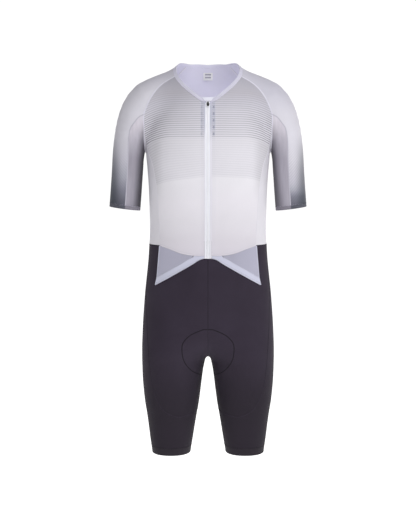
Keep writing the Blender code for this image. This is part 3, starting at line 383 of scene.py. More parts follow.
# Soft creases where the stretched cloth gathers: side (-1 front, 1 back), from across and height, to across
# and height, width and depth in millimetres. A depth below zero is a ridge.
CREASES = np.array((
    (-1, -0.158, -0.128, -0.132, -0.166, 6.0, 1.1), (-1, -0.152, -0.160, -0.122, -0.182, 7.0, 0.8),
    (-1, 0.160, -0.120, 0.136, -0.172, 6.5, 1.4), (-1, 0.153, -0.150, 0.146, -0.215, 8.0, 1.2),
    (-1, 0.143, -0.146, 0.112, -0.176, 7.0, -0.7), (-1, -0.128, -0.215, -0.096, -0.262, 12.0, 0.8),
    (-1, 0.130, -0.250, 0.092, -0.300, 13.0, 0.9), (-1, -0.118, -0.436, -0.066, -0.452, 7.0, 0.9),
    (-1, 0.117, -0.430, 0.074, -0.446, 8.0, 0.8), (-1, -0.110, -0.405, -0.054, -0.428, 10.0, -0.6),
    (-1, 0.110, -0.392, 0.060, -0.415, 10.0, 0.6), (-1, -0.030, -0.690, -0.098, -0.668, 8.0, 0.9),
    (-1, 0.028, -0.688, 0.104, -0.662, 8.0, 0.8), (-1, -0.036, -0.725, -0.112, -0.712, 9.0, 0.9),
    (-1, 0.034, -0.728, 0.106, -0.716, 9.0, 1.0), (-1, 0.152, -0.742, 0.100, -0.760, 11.0, 0.6),
    (-1, -0.150, -0.756, -0.104, -0.772, 11.0, 0.7), (-1, -0.060, -0.888, -0.128, -0.879, 8.0, 0.5),
    (-1, 0.056, -0.884, 0.122, -0.872, 8.0, 0.6), (-1, -0.188, -0.170, -0.212, -0.198, 7.0, 0.9),
    (-1, 0.186, -0.166, 0.214, -0.192, 7.0, 0.9), (-1, -0.194, -0.252, -0.186, -0.330, 6.0, 0.7),
    (-1, 0.193, -0.246, 0.188, -0.345, 6.0, 0.8), (-1, 0.203, -0.290, 0.200, -0.352, 5.0, -0.5),
    (-1, -0.092, -0.042, -0.120, -0.062, 6.0, 0.6), (-1, 0.094, -0.044, 0.124, -0.058, 6.0, 0.5),
    (1, -0.150, -0.150, -0.112, -0.196, 9.0, 1.2), (1, 0.152, -0.144, 0.116, -0.204, 9.0, 1.3),
    (1, -0.070, -0.428, 0.054, -0.446, 11.0, 1.3), (1, -0.040, -0.392, 0.088, -0.410, 12.0, 1.1),
    (1, -0.116, -0.368, -0.034, -0.380, 12.0, -0.8), (1, 0.030, -0.744, 0.116, -0.724, 9.0, 1.2),
    (1, -0.032, -0.740, -0.118, -0.728, 9.0, 1.1), (1, 0.044, -0.778, 0.126, -0.764, 9.0, 0.9),
    (1, -0.046, -0.782, -0.120, -0.762, 9.0, 1.0), (1, 0.196, -0.252, 0.236, -0.270, 8.0, 0.9),
    (1, -0.196, -0.246, -0.238, -0.262, 8.0, 1.0), (1, 0.060, -0.885, 0.132, -0.876, 8.0, 0.7),
    (1, -0.058, -0.890, -0.130, -0.880, 8.0, 0.6),
))
CREASE_FROM, CREASE_TO = (
    np.where(CREASES[:, :1] < 0, seen(ends, -1), seen(ends, 1))
    for ends in (CREASES[:, 1:3], CREASES[:, 3:5])
)
CREASE_LIFT = settle((CREASE_FROM + CREASE_TO) / 2) - (CREASE_FROM + CREASE_TO) / 2


def crease(points):
    """How far the creases move each point outwards: for each one a bell curve of the distance to its bowed
    middle line, times a half sine along it, times its depth."""
    run = CREASE_TO - CREASE_FROM
    part = ((points[:, None] - CREASE_FROM) * run).sum(axis=-1) / (run**2).sum(axis=-1)
    part = np.clip(part, 0, 1)
    line = CREASE_FROM + part[..., None] * run + (4 * part * (1 - part))[..., None] * CREASE_LIFT
    away = ((points[:, None] - line) ** 2).sum(axis=-1)
    bell = np.exp(-away / (CREASES[:, 5] / 1000) ** 2) * np.sin(math.pi * part)
    return -(bell * CREASES[:, 6] / 1000).sum(axis=1)


SHELL = 0.0010
SEAM_GAP = 0.0003
STRIPE_DROOP, DROOP_START, DROOP_SPAN = 0.016, 0.090, 0.064
LOW_DROOP, LOW_DROOP_OTHER, LOW_START, LOW_SPAN = 0.13, 0.05, -0.200, 0.080


def quads_of(rows, columns):
    """The four-sided faces of a grid of points, row after row."""
    first = (np.arange(rows - 1)[:, None] * columns + np.arange(columns - 1)).reshape(-1)
    return np.stack([first, first + 1, first + columns + 1, first + columns], axis=1)


def flat_map(grid):
    """The cloth's own coordinates in metres: the distance along each row, and the mean distance down."""
    over = np.cumsum(np.linalg.norm(np.diff(grid, axis=1), axis=2), axis=1)
    over = np.concatenate([np.zeros((len(grid), 1)), over], axis=1)
    down = np.cumsum(np.linalg.norm(np.diff(grid, axis=0), axis=2).mean(axis=1))
    down = np.broadcast_to(np.concatenate([[0.0], down])[:, None], over.shape)
    return np.stack([over, down], axis=-1).reshape(-1, 2)


def area_of(grid):
    """The area of a grid: half of each face's crossed diagonals."""
    first, second = grid[1:, 1:] - grid[:-1, :-1], grid[1:, :-1] - grid[:-1, 1:]
    return np.linalg.norm(np.cross(first, second), axis=-1).sum() / 2


def new_object(name, points, faces, loops, finishes):
    """A mesh object of its own, smooth but for its corners, with the cloth's coordinates on its loops."""
    mesh = bpy.data.meshes.new(name)
    mesh.from_pydata(points.tolist(), [], faces)
    mesh.uv_layers.new(name="cut").data.foreach_set("uv", loops.astype(np.float32).reshape(-1))
    mesh.update()
    mesh.shade_smooth()
    mesh.set_sharp_from_angle(angle=math.radians(42))
    for finish in finishes:
        mesh.materials.append(finish)
    made = bpy.data.objects.new(name, mesh)
    bpy.context.scene.collection.objects.link(made)
    return made


def cloth(name, grids, finishes, thickness=SHELL, raised=0.0, gap=SEAM_GAP, creased=1.0):
    """A closed thin shell on one or more grids of the form. The points are welded, drawn in at the rim by
    the seam gap, moved out by the raise and the creases, and given the thickness inwards."""
    sizes = np.cumsum([0] + [grid.shape[0] * grid.shape[1] for grid in grids])
    every = np.concatenate([grid.reshape(-1, 3) for grid in grids])
    maps = np.concatenate([flat_map(grid) for grid in grids])
    faces = np.concatenate([quads_of(*grid.shape[:2]) + size for grid, size in zip(grids, sizes)])
    _, first, index = np.unique(np.round(every, 6), axis=0, return_index=True, return_inverse=True)
    index = index.reshape(-1)
    points = every[first]
    out = outward(points)
    corners = every[faces]
    facing = np.cross(corners[:, 2] - corners[:, 0], corners[:, 3] - corners[:, 1])
    if (facing * out[index[faces]].mean(axis=1)).sum() < 0:
        faces = faces[:, ::-1]
    welded = index[faces]
    ends = np.concatenate([welded[:, [side, (side + 1) % 4]] for side in range(4)])
    _, same, count = np.unique(np.sort(ends, axis=1), axis=0, return_inverse=True, return_counts=True)
    rim = ends[count[same.reshape(-1)] == 1]
    inward = np.cross(out[rim[:, 0]] + out[rim[:, 1]], points[rim[:, 1]] - points[rim[:, 0]])
    inward /= np.linalg.norm(inward, axis=1, keepdims=True)
    total = np.zeros_like(points)
    np.add.at(total, rim[:, 0], inward)
    np.add.at(total, rim[:, 1], inward)
    placed = points + gap * total / np.maximum((total**2).sum(axis=1, keepdims=True), 1.0)
    raised, thickness = (np.broadcast_to(value, len(every))[first] for value in (raised, thickness))
    outer = placed + out * (raised + creased * crease(points))[:, None]
    inner = outer - out * thickness[:, None]
    count = len(points)
    edge = np.stack([rim[:, 1], rim[:, 0], rim[:, 0] + count, rim[:, 1] + count], axis=1)
    edge_map = maps[first][np.stack([rim[:, 1], rim[:, 0], rim[:, 0], rim[:, 1]], axis=1)]
    loops = np.concatenate([maps[faces], maps[faces[:, ::-1]], edge_map])
    sheet_faces = np.concatenate([welded, welded[:, ::-1] + count, edge])
    made = new_object(name, np.concatenate([outer, inner]), sheet_faces.tolist(), loops, finishes)
    lining = np.zeros(len(made.data.polygons), np.int32)
    lining[len(faces) : 2 * len(faces)] = len(finishes) - 1
    made.data.polygons.foreach_set("material_index", lining)
    # Where the print's stripes run: the height, drooping towards the sides as the cloth is drawn over.
    away = np.abs(points[:, 0])
    droop = STRIPE_DROOP * np.clip((away - DROOP_START) / DROOP_SPAN, 0, 1.3) ** 2
    low = np.clip((LOW_START - points[:, 2]) / LOW_SPAN, 0, 1) * away
    droop = droop + low * np.where(points[:, 0] < 0, LOW_DROOP, LOW_DROOP_OTHER)
    stripe = made.data.attributes.new("print_height", "FLOAT", "POINT")
    stripe.data.foreach_set("value", np.tile(points[:, 2] + droop, 2).astype(np.float32))
    return made


STRETCH = 1.06
panels = {}


def stands(piece, slot, *nodes, body="suit"):
    """A piece rides on its body and stands for the solids that it replaces. Its slot is not used."""
    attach(piece, body)
    if nodes:
        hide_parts(*nodes)


def tailor(node, grids, finishes, slot, *shell, rests_on=()):
    """A cloth panel in place of a solid. The area of its cut, what it measures less the stretch it is worn
    with, is worked out and not used.
    """
    piece = panels[node] = cloth(node + "_cloth", grids, finishes, *shell)
    stands(piece, slot, node)
    area = sum(area_of(grid) for grid in grids) / STRETCH


def trim(piece, panel, slot, *nodes):
    """A narrow piece sewn to a panel is parented to that panel."""
    piece.parent = panels[panel]
    stands(piece, slot, *nodes)


class Shade:
    """A node's output. Arithmetic on it adds Math nodes, and node() adds a node of any other kind."""

    def __init__(self, tree, socket):
        self.tree, self.socket = tree, socket

    def node(self, kind, settings, values, output=0):
        """A new node: its settings first, a ramp's stops among them, then its sockets' values or links."""
        made = self.tree.nodes.new("ShaderNode" + kind)
        for name, setting in settings.items():
            if name == "stops":
                elements = made.color_ramp.elements
                elements[0].position, elements[1].position = setting[0][0], setting[-1][0]
                for at, _ in setting[1:-1]:
                    elements.new(at)
                for element, (_, colour) in zip(elements, setting):
                    element.color = colour
            else:
                setattr(made, name, setting)
        for name, value in values.items():
            if isinstance(value, Shade):
                self.tree.links.new(value.socket, made.inputs[name])
            else:
                made.inputs[name].default_value = value
        return Shade(self.tree, made.outputs[output])

    def maths(self, operation, *values):
        """A Math node on this and further values."""
        return self.node("Math", {"operation": operation}, dict(enumerate((self, *values))))

    def __add__(self, other):
        return self.maths("ADD", other)

    def __sub__(self, other):
        return self.maths("SUBTRACT", other)

    def __mul__(self, other):
        return self.maths("MULTIPLY", other)

    def __truediv__(self, other):
        return self.maths("DIVIDE", other)

    def __rsub__(self, other):
        return self.node("Math", {"operation": "SUBTRACT"}, {0: other, 1: self})

    __radd__, __rmul__ = __add__, __mul__

    def wave(self, pitch):
        """A sine with one crest in each pitch."""
        return (self * (2 * math.pi / pitch)).maths("SINE")

    def between(self, low, high):
        """0 below low, 1 above high and an eased rise between them. High may be the lower of the two."""
        limits = {"Value": self, "From Min": low, "From Max": high}
        return self.node("MapRange", {"interpolation_type": "SMOOTHSTEP"}, limits)

    def mix(self, other, share):
        """This colour with a share of the other."""
        return self.node("Mix", {"data_type": "RGBA"}, {0: share, 6: self, 7: other}, output=2)

    def ramp(self, stops):
        """A colour for each value, from stops of a value between 0 and 1 and a colour."""
        return self.node("ValToRGB", {"stops": stops}, {"Fac": self})


def paint(red, green, blue):
    """A colour of 0 to 255 as light: the display's curve undone."""
    share = np.array((red, green, blue)) / 255
    light = np.where(share > 0.04045, ((share + 0.055) / 1.055) ** 2.4, share / 12.92)
    return (*(float(value) for value in light), 1.0)


KNIT_SPECULAR, MOULDED_SPECULAR, SHEEN_ROUGHNESS = 0.14, 0.5, 0.45


def finish_of(name, look, roughness, sheen=0.0, coat=0.0):
    """A material whose look is a function of its coordinates that gives a colour and a height in metres."""
    made = bpy.data.materials.new(name)
    made.use_nodes = True
    tree = made.node_tree
    shader = tree.nodes["Principled BSDF"]
    for name, value in (
        ("Roughness", roughness), ("Specular IOR Level", MOULDED_SPECULAR if coat else KNIT_SPECULAR),
        ("Sheen Weight", sheen), ("Sheen Roughness", SHEEN_ROUGHNESS), ("Coat Weight", coat),
    ):
        shader.inputs[name].default_value = value
    coordinates = Shade(tree, tree.nodes.new("ShaderNodeTexCoord").outputs["Object"])
    cut = Shade(tree, None).node("UVMap", {"uv_map": "cut"}, {})
    colour, height = look(coordinates, cut)
    tree.links.new(colour.socket, shader.inputs["Base Color"])
    bump = colour.node("Bump", {}, {"Strength": 1.0, "Distance": 1.0, "Height": height})
    tree.links.new(bump.socket, shader.inputs["Normal"])
    return made


def parts_of(vector):
    """The three numbers of a vector."""
    return [vector.node("SeparateXYZ", {}, {"Vector": vector}, output=index) for index in range(3)]


def knit_height(cut, wale, course, deep):
    """Knit loops: columns as a rectified sine across the cloth, each row of loops shifting the next."""
    over, down, _ = parts_of(cut)
    columns = (over * (math.pi / wale)).maths("SINE").maths("ABSOLUTE")
    rows = (down * (math.pi / course) + columns * 1.2).maths("SINE").maths("ABSOLUTE")
    return (columns + rows * 0.6) * deep


def mottled(coordinates, scale, low, high):
    """A slow uneven tone between two shares of grey."""
    noise = coordinates.node("TexNoise", {}, {"Vector": coordinates, "Scale": scale, "Detail": 3.0})
    return noise * (high - low) + low


def toned(colour, tone):
    """A colour darkened or lightened by a tone, through Vector Math."""
    grey = tone.node("CombineXYZ", {}, {"X": tone, "Y": tone, "Z": tone})
    base = colour if isinstance(colour, Shade) else colour[:3]
    return tone.node("VectorMath", {"operation": "MULTIPLY"}, {0: base, 1: grey})


# The print's tones, by height from the shoulder line: grey at the yoke, nearly white below the chest, a
# little darker towards the hem.
PRINT_TOP, PRINT_FOOT = -0.040, -0.490
PRINT_TONES = (
    (-0.040, (172, 170, 181)), (-0.078, (184, 181, 190)), (-0.098, (196, 194, 204)),
    (-0.125, (208, 206, 215)), (-0.188, (217, 215, 223)), (-0.1915, (217, 215, 222)),
    (-0.280, (220, 218, 225)), (-0.288, (226, 224, 230)), (-0.345, (225, 222, 229)),
    (-0.395, (221, 218, 225)), (-0.440, (217, 213, 221)), (-0.490, (212, 207, 217)),
)
STRIPE_PITCH = 0.0054
STRIPE_GREY = paint(108, 106, 116)
STRIPE_STRENGTH = (
    (-0.040, 0.00), (-0.066, 0.00), (-0.090, 0.32), (-0.120, 0.48), (-0.150, 0.56), (-0.1895, 0.52),
    (-0.1910, 0.13), (-0.240, 0.08), (-0.284, 0.13), (-0.2865, 0.00), (-0.490, 0.00),
)
# The facing beside the zip, and a row of plain dashes on each side of it: the middles of the first and the
# last, then each row's place across, its half width and how strong it is.
FACING_EDGE, FACING_TONE = 0.0185, paint(187, 188, 203)
DASH_PITCH, DASH_FIRST, DASH_LAST, DASH_TONE = 0.0166, -0.1153, -0.1817, paint(140, 142, 162)
DASH_ROWS = ((0.0138, 0.0026, 0.75), (-0.0160, 0.0024, 0.30))


def ramp_share(height, top, foot):
    """How far a height lies down a ramp, from 0 at its top to 1 at its foot."""
    return (top - height) / (top - foot)


def stops_of(rows, top, foot):
    """A ramp's stops from rows of a height and a colour or a strength."""
    colours = [paint(*value) if isinstance(value, tuple) else (value, value, value, 1) for _, value in rows]
    return [(ramp_share(height, top, foot), colour) for (height, _), colour in zip(rows, colours)]


def jersey_look(coordinates, cut):
    """The print: tones by height, and stripes that are the top of a sine of the print height, strongest
    near the armpits. Painted shade darkens the flanks below the armpits, and the +x half a little."""
    height = coordinates.node("Attribute", {"attribute_name": "print_height"}, {}, output=2)
    share = ramp_share(height, PRINT_TOP, PRINT_FOOT)
    tone = share.ramp(stops_of(PRINT_TONES, PRINT_TOP, PRINT_FOOT))
    strength = share.ramp(stops_of(STRIPE_STRENGTH, PRINT_TOP, PRINT_FOOT))
    across, along, level = parts_of(coordinates)
    beside = across.maths("ABSOLUTE").between(0.085, 0.150) * height.between(-0.085, -0.150)
    wave = mottled(coordinates, 16.0, -0.9, 0.9)
    line = (height * (2 * math.pi / STRIPE_PITCH) + wave).maths("SINE").between(-0.15, 0.85)
    front = along.between(0.0, -0.05)
    facing = across.maths("ABSOLUTE").between(FACING_EDGE + 0.0004, FACING_EDGE - 0.0004) * front
    tone = tone.mix(FACING_TONE, facing * (level.between(-0.205, -0.150) * 0.70 + 0.05))
    colour = tone.mix(STRIPE_GREY, line * strength * (beside * 0.66 + 0.70))
    dash = (level + (DASH_PITCH / 4 - DASH_FIRST)).wave(DASH_PITCH).between(0.10, 0.55) * front
    dash = dash * level.between(DASH_FIRST + 0.0070, DASH_FIRST + 0.0060)
    dash = dash * level.between(DASH_LAST - 0.0070, DASH_LAST - 0.0060)
    right, left = (
        (across - place).maths("ABSOLUTE").between(half, half - 0.0006) * deep
        for place, half, deep in DASH_ROWS
    )
    colour = colour.mix(DASH_TONE, dash * (right + left))
    # Painted shade: darker flanks below the armpits, where the front turns from the light, and a slightly
    # darker +x half.
    flank = across.maths("ABSOLUTE").between(0.108, 0.134) * height.between(-0.180, -0.200)
    flank = flank * height.between(-0.360, -0.280)
    shade = mottled(coordinates, 24.0, 0.965, 1.02) - flank * 0.13 - across.between(0.0, 0.040) * 0.024
    colour = toned(colour, shade)
    return colour, knit_height(cut, 0.0012, 0.0010, 0.00005) + line * strength * 0.00006


LINING = paint(238, 236, 252)


def lining_look(coordinates, cut):
    """The inner face of the knit: a pale lavender, a little uneven."""
    return toned(LINING, mottled(coordinates, 30.0, 0.95, 1.03)), knit_height(cut, 0.0012, 0.0009, 0.00004)


jersey = finish_of("striped_jersey", jersey_look, 0.78, sheen=0.12)
lining = finish_of("jersey_lining", lining_look, 0.82)

OVERLAP, OVERLAP_START = 0.0023, -0.425


def overlap(points):
    """How far the front stands off over the shorts: an eased rise from its start to the waist."""
    part = np.clip((OVERLAP_START - points[..., 2]) / (OVERLAP_START - WAIST), 0, 1)
    return (OVERLAP * part * part * (3 - 2 * part)).reshape(-1)


SIDES = (("left", np.array((1, 1, 1))), ("right", np.array((-1, 1, 1))))

front_end = np.concatenate([raglan_front, armpit_front[1:], flank_front[1:]])
front_top = neck_foot[1 : FRONT_STEPS + 2]
front_bottom = seen(
    spaced([(ZIP_EDGE, ZIP_FOOT), *FRONT_HEM, (SEAMS_FRONT["waist"], WAIST)], FRONT_STEPS), -1
)
front_share = lengths(front_end) / lengths(front_end)[-1]
front_heights = front_top[0, 2] + front_share * (ZIP_FOOT - front_top[0, 2])
front_start = seen(np.stack([np.full_like(front_heights, ZIP_EDGE), front_heights], axis=1), -1)
front_start[0], front_start[-1], front_bottom[-1] = front_top[0], front_bottom[0], front_end[-1]
front_grid = round_trunk(front_top, front_bottom, front_start, front_end)
for side, way in SIDES:
    tailor("front_" + side, [front_grid * way], [jersey, lining], "jersey_white", SHELL, overlap(front_grid))

# The back: one panel of the same printed jersey, from the neckband to the waist seam, sewn to the sleeves
# and the side panels by flat seams.
back_end = np.concatenate([raglan_back, armpit_back[1:], flank_back[1:]])
back_top = neck_foot[: FRONT_STEPS + SLEEVE_ROUND_STEPS : -1]
back_share = lengths(back_end) / lengths(back_end)[-1]
back_heights = back_top[0, 2] + back_share * (WAIST - back_top[0, 2])
back_start = seen(np.stack([np.zeros_like(back_heights), back_heights], axis=1), 1)
back_across = np.linspace(0, SEAMS_BACK["waist"], BACK_STEPS + 1)
back_bottom = seen(np.stack([back_across, np.full_like(back_across, WAIST)], axis=1), 1)
back_start[0], back_start[-1], back_bottom[-1] = back_top[0], back_bottom[0], back_end[-1]
half_back = round_trunk(back_top, back_bottom, back_start, back_end)
back_grid = np.concatenate([half_back[:, :0:-1] * (-1, 1, 1), half_back], axis=1)
tailor("back", [back_grid], [jersey, lining], "jersey_white")

# The side panels: narrow pieces of plain white jersey from the armpit down to the waist, one on each side,
# sewn between the front and the back.
SIDE_TONES = (
    (-0.040, (196, 194, 204)), (-0.230, (200, 198, 206)), (-0.320, (218, 216, 223)),
    (-0.490, (220, 217, 224)),
)


def side_look(coordinates, cut):
    """Plain jersey: tones by height and fine ribs along the body."""
    _, _, height = parts_of(coordinates)
    tone = ramp_share(height, PRINT_TOP, PRINT_FOOT).ramp(stops_of(SIDE_TONES, PRINT_TOP, PRINT_FOOT))
    return toned(tone, mottled(coordinates, 26.0, 0.96, 1.02)), knit_height(cut, 0.0016, 0.0011, 0.00006)


side_jersey = finish_of("side_jersey", side_look, 0.78, sheen=0.12)
side_turns = [math.atan2(flank[-1, 0], -flank[-1, 1]) for flank in (flank_front, flank_back)]
side_bottom = cast_out(np.linspace(*side_turns, UNDERARM_STEPS + 1), WAIST)
side_bottom[0], side_bottom[-1] = flank_front[-1], flank_back[-1]
side_grid = round_trunk(underarm, side_bottom, flank_front, flank_back)
for side, way in SIDES:
    tailor("side_" + side, [side_grid * way], [side_jersey, lining], "jersey_white")

# The upper sleeves: raglan pieces of light knit that run from the neckband over the shoulder to the cuff and
# are graded from pale grey down to blue-grey. The panel's grid follows the bent middle line of the sleeve.
SLEEVE_FINE = spaced(SLEEVE_LINE[:, :2], 1500)
SLEEVE_ALONG = lengths(SLEEVE_FINE)
SLEEVE_RUN = np.gradient(SLEEVE_FINE, axis=0)
SLEEVE_RUN /= np.linalg.norm(SLEEVE_RUN, axis=1, keepdims=True)
SLEEVE_OUT = np.stack([-SLEEVE_RUN[:, 1], SLEEVE_RUN[:, 0]], axis=1)


def round_sleeve(top, bottom, start, end):
    """A grid blended in distances along the bent middle line and turns round it, then cast outwards."""
    edges = []
    for edge in (top, bottom, start, end):
        flat = edge[:, [0, 2]]
        near = np.argmin(np.linalg.norm(flat[:, None] - SLEEVE_FINE[None], axis=2), axis=1)
        out = ((flat - SLEEVE_FINE[near]) * SLEEVE_OUT[near]).sum(axis=1)
        edges.append(np.stack([SLEEVE_ALONG[near], np.arctan2(SLEEVE_MIDDLE_Y - edge[:, 1], out)], axis=1))
    along, turn = np.moveaxis(coons(*edges), -1, 0)
    middle, out = (
        np.stack([np.interp(along, SLEEVE_ALONG, column) for column in table.T], axis=-1)
        for table in (SLEEVE_FINE, SLEEVE_OUT)
    )
    grid = cast_round(middle, out, turn)
    grid[0], grid[-1], grid[:, 0], grid[:, -1] = top, bottom, start, end
    return grid


SLEEVE_TONES = (
    (-0.020, (196, 194, 206)), (-0.075, (208, 206, 215)), (-0.130, (210, 208, 217)),
    (-0.190, (204, 202, 211)), (-0.240, (190, 188, 199)), (-0.290, (163, 163, 175)),
    (-0.325, (126, 126, 139)), (-0.352, (99, 99, 111)), (-0.380, (85, 85, 96)),
)
SLEEVE_TOP, SLEEVE_FOOT, SLEEVE_RIB = -0.020, -0.380, 0.0074


def sleeve_look(coordinates, cut):
    """Tones by height under fine slanting ribs, deepening at the outer edge to a blue-green grey, partly
    print and partly painted shade. The left sleeve's tones are shifted down the arm: painted light."""
    across, _, height = parts_of(coordinates)
    # Painted light: the +x sleeve's tones are shifted down the arm, most at the forearm, so it reads
    # lighter.
    lower = across.between(-0.05, 0.05) * (height.between(-0.345, -0.300) * 0.044 + 0.012)
    share = ramp_share(height + lower, SLEEVE_TOP, SLEEVE_FOOT)
    tone = share.ramp(stops_of(SLEEVE_TONES, SLEEVE_TOP, SLEEVE_FOOT))
    # Partly print and partly painted shade: a blue-green grey deepens towards the outer edge, where the
    # sleeve turns from the light.
    outside = across.maths("ABSOLUTE").between(0.216, 0.246) * height.between(-0.150, -0.290)
    tone = tone.mix(paint(50, 58, 66), outside * 0.66)
    over, down, _ = parts_of(cut)
    rib = (over + down).wave(SLEEVE_RIB) * height.between(-0.190, -0.270)
    colour = toned(tone, mottled(coordinates, 26.0, 0.96, 1.02) + rib * 0.06)
    return colour, knit_height(cut, 0.0012, 0.0010, 0.00005) + rib * 0.00006


sleeve_knit = finish_of("sleeve_knit", sleeve_look, 0.78, sheen=0.12)
sleeve_lining = finish_of("sleeve_lining", lining_look, 0.82)
outer_turns = np.linspace(CUFF_SEAM_TURN, -CUFF_SEAM_TURN, SLEEVE_ROUND_STEPS + 1)
sleeve_grid = round_sleeve(
    neck_foot[FRONT_STEPS + 1 : FRONT_STEPS + 2 + SLEEVE_ROUND_STEPS],
    cuff_ring(CUFF_HEIGHT, outer_turns),
    np.concatenate([raglan_front, sleeve_seam_front[1:]]),
    np.concatenate([raglan_back, sleeve_seam_back[1:]]),
)
for side, way in SIDES:
    tailor("sleeve_" + side, [sleeve_grid * way], [sleeve_knit, sleeve_lining], "sleeve_grey")

# The inner sleeves: darker knit from the armhole to the cuff, sewn to the upper sleeves by two seams and
# softly streaked where it is drawn along the arm.
UNDER_START, UNDER_END = np.array((0.1900, -0.150)), np.array((0.2150, -0.372))
UNDER_TONES = (
    (-0.130, (206, 202, 211)), (-0.160, (199, 194, 204)), (-0.195, (180, 176, 187)),
    (-0.240, (163, 159, 171)), (-0.300, (168, 164, 176)), (-0.345, (166, 162, 174)),
    (-0.380, (156, 152, 164)),
)


def round_undersleeve(top, bottom, start, end):
    """As the upper sleeve's, but round a straight line and turning by way of the body side."""
    run = (UNDER_END - UNDER_START) / np.linalg.norm(UNDER_END - UNDER_START)
    out = np.array((-run[1], run[0]))
    edges = []
    for edge in (top, bottom, start, end):
        flat = edge[:, [0, 2]] - UNDER_START
        turn = np.arctan2(SLEEVE_MIDDLE_Y - edge[:, 1], flat @ out)
        edges.append(np.stack([flat @ run, np.where(turn < 0, turn + 2 * math.pi, turn)], axis=1))
    grid = coons(*edges)
    middle = UNDER_START + grid[..., :1] * run
    grid = cast_round(middle, np.broadcast_to(out, middle.shape), grid[..., 1])
    grid[0], grid[-1], grid[:, 0], grid[:, -1] = top, bottom, start, end
    return grid


def under_look(coordinates, cut):
    """Tones by height under soft streaks along the arm, darker towards the body, partly print and partly
    painted shade, and painted darker still on the -x arm, as shade.
    """
    across, _, height = parts_of(coordinates)
    share = ramp_share(height, SLEEVE_TOP, SLEEVE_FOOT)
    tone = share.ramp(stops_of(UNDER_TONES, SLEEVE_TOP, SLEEVE_FOOT))
    lean = (UNDER_END[0] - UNDER_START[0]) / (UNDER_START[1] - UNDER_END[1])
    # Partly print and partly painted shade: darker towards the body, where arm and trunk shade each other.
    inside = (across.maths("ABSOLUTE") + height * lean).between(0.1600, 0.1310)
    inside = inside * height.between(-0.140, -0.200)
    # Painted shade: the -x undersleeve, away from the key lamp, is darker, most below the elbow.
    left = across.between(0.05, -0.05)
    tone = tone.mix(paint(44, 41, 49), inside * (left * 0.14 + 0.80))
    along_arm = {0: coordinates, 1: (130.0, 130.0, 14.0)}
    stretched = coordinates.node("VectorMath", {"operation": "MULTIPLY"}, along_arm)
    streak = coordinates.node("TexNoise", {}, {"Vector": stretched, "Scale": 1.0, "Detail": 2.0})
    shade = streak * 0.30 + 0.88 - left * height.between(-0.200, -0.265) * 0.14
    return toned(tone, shade), knit_height(cut, 0.0014, 0.0012, 0.00006) + streak * 0.0004


under_knit = finish_of("undersleeve_knit", under_look, 0.80, sheen=0.12)
armhole = np.concatenate([armpit_front, underarm[1:], armpit_back[-2::-1]])
inner_turns = np.linspace(CUFF_SEAM_TURN, 360 - CUFF_SEAM_TURN, len(armhole))
under_grid = round_undersleeve(
    armhole, cuff_ring(CUFF_HEIGHT, inner_turns), sleeve_seam_front, sleeve_seam_back
)
for side, way in SIDES:
    tailor("undersleeve_" + side, [under_grid * way], [under_knit, sleeve_lining], "undersleeve_grey")

# The cuffs: narrow turned hems, each of two lengths that carry on the colours of the panels above them,
# held by a row of zigzag stitches and a straight one.
CUFF_ROWS, HEM_THICKNESS = 5, 0.0014


def cuff_look(coordinates, cut):
    """The upper sleeve's lowest tone outside the seams and the inner sleeve's tone inside them."""
    across, _, _ = parts_of(coordinates)
    outside = across.maths("ABSOLUTE").between(0.2105, 0.2125)
    tone = outside.ramp([(0.0, paint(134, 130, 141)), (1.0, paint(88, 89, 99))])
    return toned(tone, mottled(coordinates, 30.0, 0.95, 1.03)), knit_height(cut, 0.0014, 0.0012, 0.00006)


cuff_knit = finish_of("cuff_knit", cuff_look, 0.80, sheen=0.1)
cuff_turns = np.concatenate([outer_turns, inner_turns[-2:0:-1] - 360, outer_turns[:1]])
cuff_grid = np.stack([cuff_ring(up, cuff_turns) for up in np.linspace(CUFF_HEIGHT, 0.0, CUFF_ROWS)])
cuff_grid[:, -1] = cuff_grid[:, 0]
for side, way in SIDES:
    cuff = cloth("cuff_" + side + "_cloth", [cuff_grid * way], [cuff_knit, sleeve_lining], HEM_THICKNESS)
    trim(cuff, "sleeve_" + side, "undersleeve_grey", "cuff_" + side)

# The neckband: one folded binding of lavender elastic that runs round the neck and meets above the zip. It
# is sewn over the edges of the panels with one row of stitches.
NECKBAND_RAISE, NECKBAND_THICKNESS, NECKBAND_START = 0.0004, 0.0020, 0.0016
NECKBAND_ROWS = 7


def band_look(coordinates, cut):
    """Lavender elastic with close ribs across its width."""
    over, _, _ = parts_of(cut)
    rib = over.wave(0.0017)
    return toned(paint(207, 205, 221), mottled(coordinates, 30.0, 0.95, 1.03) + rib * 0.015), rib * 0.00006


band_elastic = finish_of("band_elastic", band_look, 0.72, sheen=0.1)
band_lining = finish_of("band_lining", lining_look, 0.82)
neck_down = np.linspace(0, 1, NECKBAND_ROWS)[:, None, None]
neck_half = settle(neck_edge + neck_down * (neck_foot - neck_edge))
neck_half[0], neck_half[-1] = neck_edge, neck_foot
neck_half[:, 0, 0] = NECKBAND_START
neck_half[:, -1, 0] = 0
neck_grid = np.concatenate([neck_half[:, :-1] * (-1, 1, 1), neck_half[:, ::-1]], axis=1)
neck_shell = NECKBAND_THICKNESS, NECKBAND_RAISE
neckband = cloth("neckband_cloth", [neck_grid], [band_elastic, band_lining], *neck_shell)
trim(neckband, "back", "band_lavender", "neckband")

